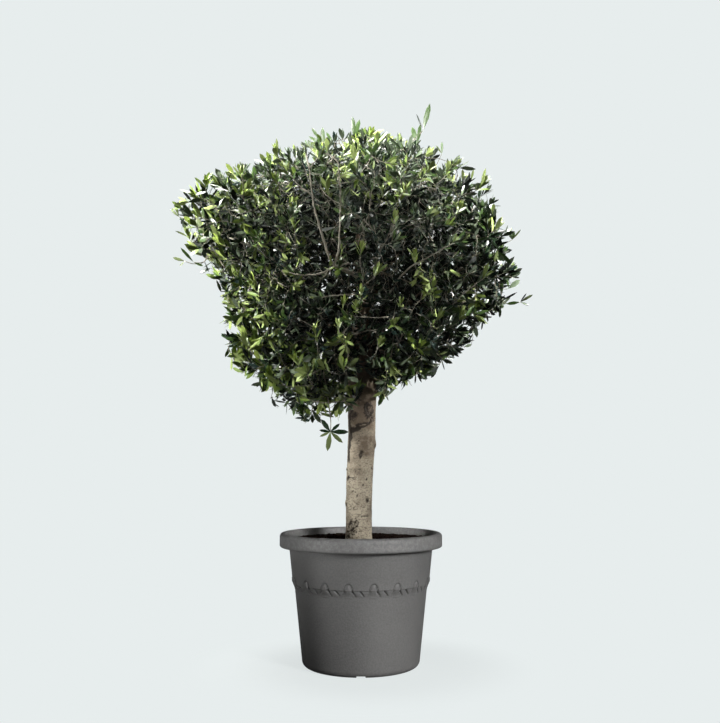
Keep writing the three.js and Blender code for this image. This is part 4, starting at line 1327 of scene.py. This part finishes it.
def barkMarks(turn, height, radius):
    # relief in metres and darkness from 0 to 1 of the marks on the trunk, with painted shade below each bump;
    # turn in degrees from the front
    relief = np.zeros_like(height)
    dark = np.zeros_like(height)
    spots = np.stack([radius * np.sin(np.radians(turn)), -radius * np.cos(np.radians(turn)), height], 1)
    ragged = roughOf(spots, marks["ragged"])
    fine = noiseOf(spots, 330)
    worms = smoothStep(0.20 - np.abs(noiseOf(spots, 95, 4.0)), 0, 0.10)  # dark wandering lines

    def darken(share):
        np.maximum(dark, share, out=dark)

    def acrossFrom(middle):
        return np.radians((turn - middle + 180) % 360 - 180) * radius

    def away(mark):
        return np.hypot(acrossFrom(mark[1]) / mark[2], (height - mark[0]) / mark[3]) + ragged

    for distance in map(away, marks["rings"]):
        ring = bell(distance, 0.85, 0.34, 4)
        inside = smoothStep(-distance, -1.1, -0.8)
        relief += barkRelief["patch"] * (0.9 * ring - 1.1 * inside * worms)
        darken(ring * (0.88 + 0.12 * worms))
        darken(inside * (0.3 + 0.7 * worms))
    for distance in map(away, marks["patches"]):
        inside = smoothStep(-distance, -1.2, -0.7)
        relief += inside * barkRelief["patch"] * (fine - 0.8 * worms)
        darken(inside * (0.32 + 0.68 * worms))
    for distance in map(away, marks["knots"]):
        ring = bell(distance, 0.85, 0.3)
        relief += barkRelief["knot"] * (0.45 * ring - 0.8 * bell(distance, 0, 0.55))
        darken(0.95 * bell(distance, 0, 0.62, 4))
        darken(0.45 * ring)
    for mark in marks["bumps"]:
        distance = away(mark)
        relief += barkRelief["bump"] * bell(distance, 0, 1)
        # painted shade: a dark crescent below each bump
        darken(0.75 * bell(distance, 0.9, 0.4) * (height < mark[0] + 0.002))
    for distance in map(away, marks["spots"]):
        darken(0.75 * smoothStep(-distance, -1.2, -0.6))
    for (low, left), (high, right), width in marks["cracks"]:
        half = math.radians((right - left) / 2) * trunk["middle"]
        across = acrossFrom((left + right) / 2)
        line = nearLine(across, height + ragged * 0.0032, (-half, low), (half, high)) + ragged * width * 0.8
        relief -= barkRelief["crack"] * bell(line, 0, width)
        darken(0.95 * bell(line, 0, width * 1.1, 4))
    stripeTurn, low, high, width = marks["stripe"]
    across = acrossFrom(stripeTurn + 5 * np.sin(height * 60))
    run = smoothStep(height, low - 0.01, low + 0.02) * (1 - smoothStep(height, high - 0.02, high + 0.01))
    stripe = run * smoothStep(-np.abs(across / width) - ragged * 1.1, -1.1, -0.8)
    relief -= stripe * barkRelief["stripe"] * (1 + fine)
    darken(stripe * (0.72 + 0.28 * worms))
    return relief, smoothStep(dark, 0.12, 0.72)


def makeBarkMaterial(name, markName=None):
    material, tree, shader = startMaterial(name)
    # the skin is paler at the foot and darker and browner towards the crown: partly the bark's own tone,
    # partly painted shade under the crown
    ageAndShade = addScaled(tree, addRamp(tree, objectHeight(tree), 0.58, 0.97), 1.3)
    bark = placeGroup(tree, oliveBark, {"Age": ageAndShade})
    color = bark["Color"]
    if markName:
        mark = addNode(tree, "Attribute", attribute_name=markName).outputs["Fac"]
        color = addMix(tree, mark, color, marks["color"])
    setInputs(tree, shader, {
        "Base Color": color,
        "Roughness": bark["Roughness"],
        "Specular IOR Level": 0.25,
        "Normal": addBump(tree, bark["Height"], 0.6, 0.0015),
    })
    return material


def makeTrunk():
    rows, sides, middle = trunk["course"], trunk["sides"], trunk["middle"]
    heights = np.arange(rows[0][0], rows[-1][0] + 0.0001, trunk["rowStep"])
    turns = np.arange(sides) * 360 / sides  # from the front towards +X
    height, turn = [grid.ravel() for grid in np.meshgrid(heights, turns, indexing="ij")]
    soft = 2 * np.interp(height, rows[:, 0], rows[:, 2])
    for shift in (-0.012, 0.012):
        soft = soft + np.interp(height + shift, rows[:, 0], rows[:, 2])
    lean = np.interp(height, rows[:, 0], rows[:, 1])
    sourceTurn = np.radians(turn - 90)
    waves = np.sin(3 * sourceTurn + height / 0.190) + 0.7 * np.sin(5 * sourceTurn - height / 0.140)
    arm = np.stack([np.sin(np.radians(turn)), -np.cos(np.radians(turn)), height], 1)
    skin = arm * (middle, middle, 1)
    coarse = noiseOf(skin, (34, 34, 15)) + 0.5 * noiseOf(skin, (70, 70, 42), 3.0)
    fine = noiseOf(skin, (230, 230, 150), 9.0)
    relief, dark = barkMarks(turn, height, middle)
    radius = soft / 4 + trunk["ridge"] * waves
    radius = radius + barkRelief["coarse"] * coarse + barkRelief["fine"] * fine + relief
    places = np.stack([lean + radius * arm[:, 0], radius * arm[:, 1], height], 1)
    skin = skinRings(places.reshape(len(heights), sides, 3))
    piece = makePiece("trunkBark", *skin, [makeBarkMaterial("trunkSkin", "mark")])
    setPointValues(piece, "mark", np.concatenate([dark, [0, 0]]))
    dressPiece(piece, ["trunk"])


def makeBoughs():
    skins = []
    names = [name for name in limbs if name != "trunk"]
    for name in names:
        limb = limbs[name]
        run = limb["fine"]
        radii = np.linspace(limb["start"], limb["end"], len(run))
        rings = tubeRings(run, radii, boughs["sides"])
        flat = rings.reshape(-1, 3)
        relief = roughOf(flat, boughs["rough"]).reshape(len(run), -1, 1)
        rings = rings + unit(rings - run[:, None]) * relief * (radii / 0.018 + 0.3)[:, None, None]
        skins.append(skinRings(rings))
    piece = makePiece("boughBark", *joinSkins(skins), [makeBarkMaterial("boughSkin")])
    dressPiece(piece, names)


makeTrunk()
makeBoughs()


# Studio

studio = {
    "backdrop": (0.799, 0.847, 0.847, 1),
    "ambient": (0.92, 0.96, 1.0, 1), "ambientStrength": 0.024,
    "floorRadius": 6.0, "floorSides": 96, "floorHeight": -0.0004,
    "floorColor": (0.80, 0.84, 0.845, 1),
    "floorBounce": (0.07, 0.07, 0.07, 1),
    "floorGlow": 0.84,  # share of the backdrop in the floor next to the planter
    "floorFade": (0.26, 0.60),  # metres from the middle over which the floor becomes the backdrop
    "lamps": {  # place, aim, size, spread in degrees, power, colour
        "key": ((2.2, -2.7, 1.35), (0, 0, 0.08), 1.2, 25, 5.6, (1.0, 0.99, 0.97)),
        "fill": ((-3.0, -1.7, 0.55), (-0.26, 0, 0.88), 1.2, 24, 3.5, (1.0, 1.0, 0.98)),
        "front": ((-0.8, -3.0, 2.9), (-0.02, 0, 1.84), 0.8, 13, 3.6, (1.0, 1.0, 0.97)),
        "top": ((-0.5, 0.1, 3.8), (-0.1, 0, 1.3), 1.6, 180, 375, (1.0, 1.0, 0.96)),
        "left": ((-3.0, -0.8, 2.5), (-0.16, 0, 1.48), 1.0, 21, 23, (1.0, 1.0, 0.96)),
        "right": ((3.0, -0.4, 2.2), (0.18, 0, 1.48), 1.0, 18, 19, (1.0, 1.0, 0.96)),
    },
}


def addShaderMix(tree, share, first, second):
    return addNode(tree, "MixShader", {0: share, 1: first, 2: second}).outputs[0]


def endTree(tree, kind, lit, seen):
    # one shader lights the scene and the camera sees the other
    share = addNode(tree, "LightPath").outputs["Is Camera Ray"]
    addNode(tree, kind, {"Surface": addShaderMix(tree, share, lit, seen)})


def makeWorld():
    world = bpy.data.worlds.new("studio")
    bpy.context.scene.world = world
    world.use_nodes = True
    tree = world.node_tree
    tree.nodes.clear()
    lit = addNode(tree, "Background", {"Color": studio["ambient"], "Strength": studio["ambientStrength"]})
    seen = addNode(tree, "Background", {"Color": studio["backdrop"], "Strength": 1.0})
    endTree(tree, "OutputWorld", lit.outputs[0], seen.outputs[0])


def makeFloor():
    # a wide disc that turns into the backdrop a little way from the planter
    sides = studio["floorSides"]
    turns = fullTurn(sides)
    edge = studio["floorRadius"] * np.stack([np.cos(turns), np.sin(turns), 0 * turns], 1)
    places = np.concatenate([edge, [(0, 0, 0)]]) + (0, 0, studio["floorHeight"])
    around = np.arange(sides)
    triangles = np.stack([around, np.roll(around, -1), np.full(sides, sides)], 1)
    material, tree, _ = startMaterial("floorPaper")
    tree.nodes.clear()
    distance = addNode(tree, "VectorMath", {0: objectPlace(tree)}, operation="LENGTH").outputs["Value"]
    near, far = studio["floorFade"]
    limits = {"Value": distance, "From Min": near, "From Max": far, "To Min": studio["floorGlow"]}
    fade = addNode(tree, "MapRange", limits, interpolation_type="SMOOTHSTEP").outputs["Result"]
    paper = addNode(tree, "BsdfDiffuse", {"Color": studio["floorColor"]}).outputs[0]
    dim = addNode(tree, "BsdfDiffuse", {"Color": studio["floorBounce"]}).outputs[0]
    glow = addNode(tree, "Emission", {"Color": studio["backdrop"], "Strength": 1.0}).outputs[0]
    endTree(tree, "OutputMaterial", dim, addShaderMix(tree, fade, paper, glow))
    makePiece("floor", places, triangles, [material])


def makeLights():
    for name, (place, aim, size, spread, power, color) in studio["lamps"].items():
        data = bpy.data.lights.new(name, "AREA")
        data.shape = "DISK"
        data.size = size
        data.energy = power
        data.color = color
        data.spread = math.radians(spread)
        lamp = addObject(name, data)
        lamp.location = place
        lamp.rotation_euler = (Vector(aim) - Vector(place)).to_track_quat("-Z", "Y").to_euler()


makeWorld()
makeFloor()
makeLights()
bpy.context.scene.view_settings.view_transform = "Standard"
print("studio ready")
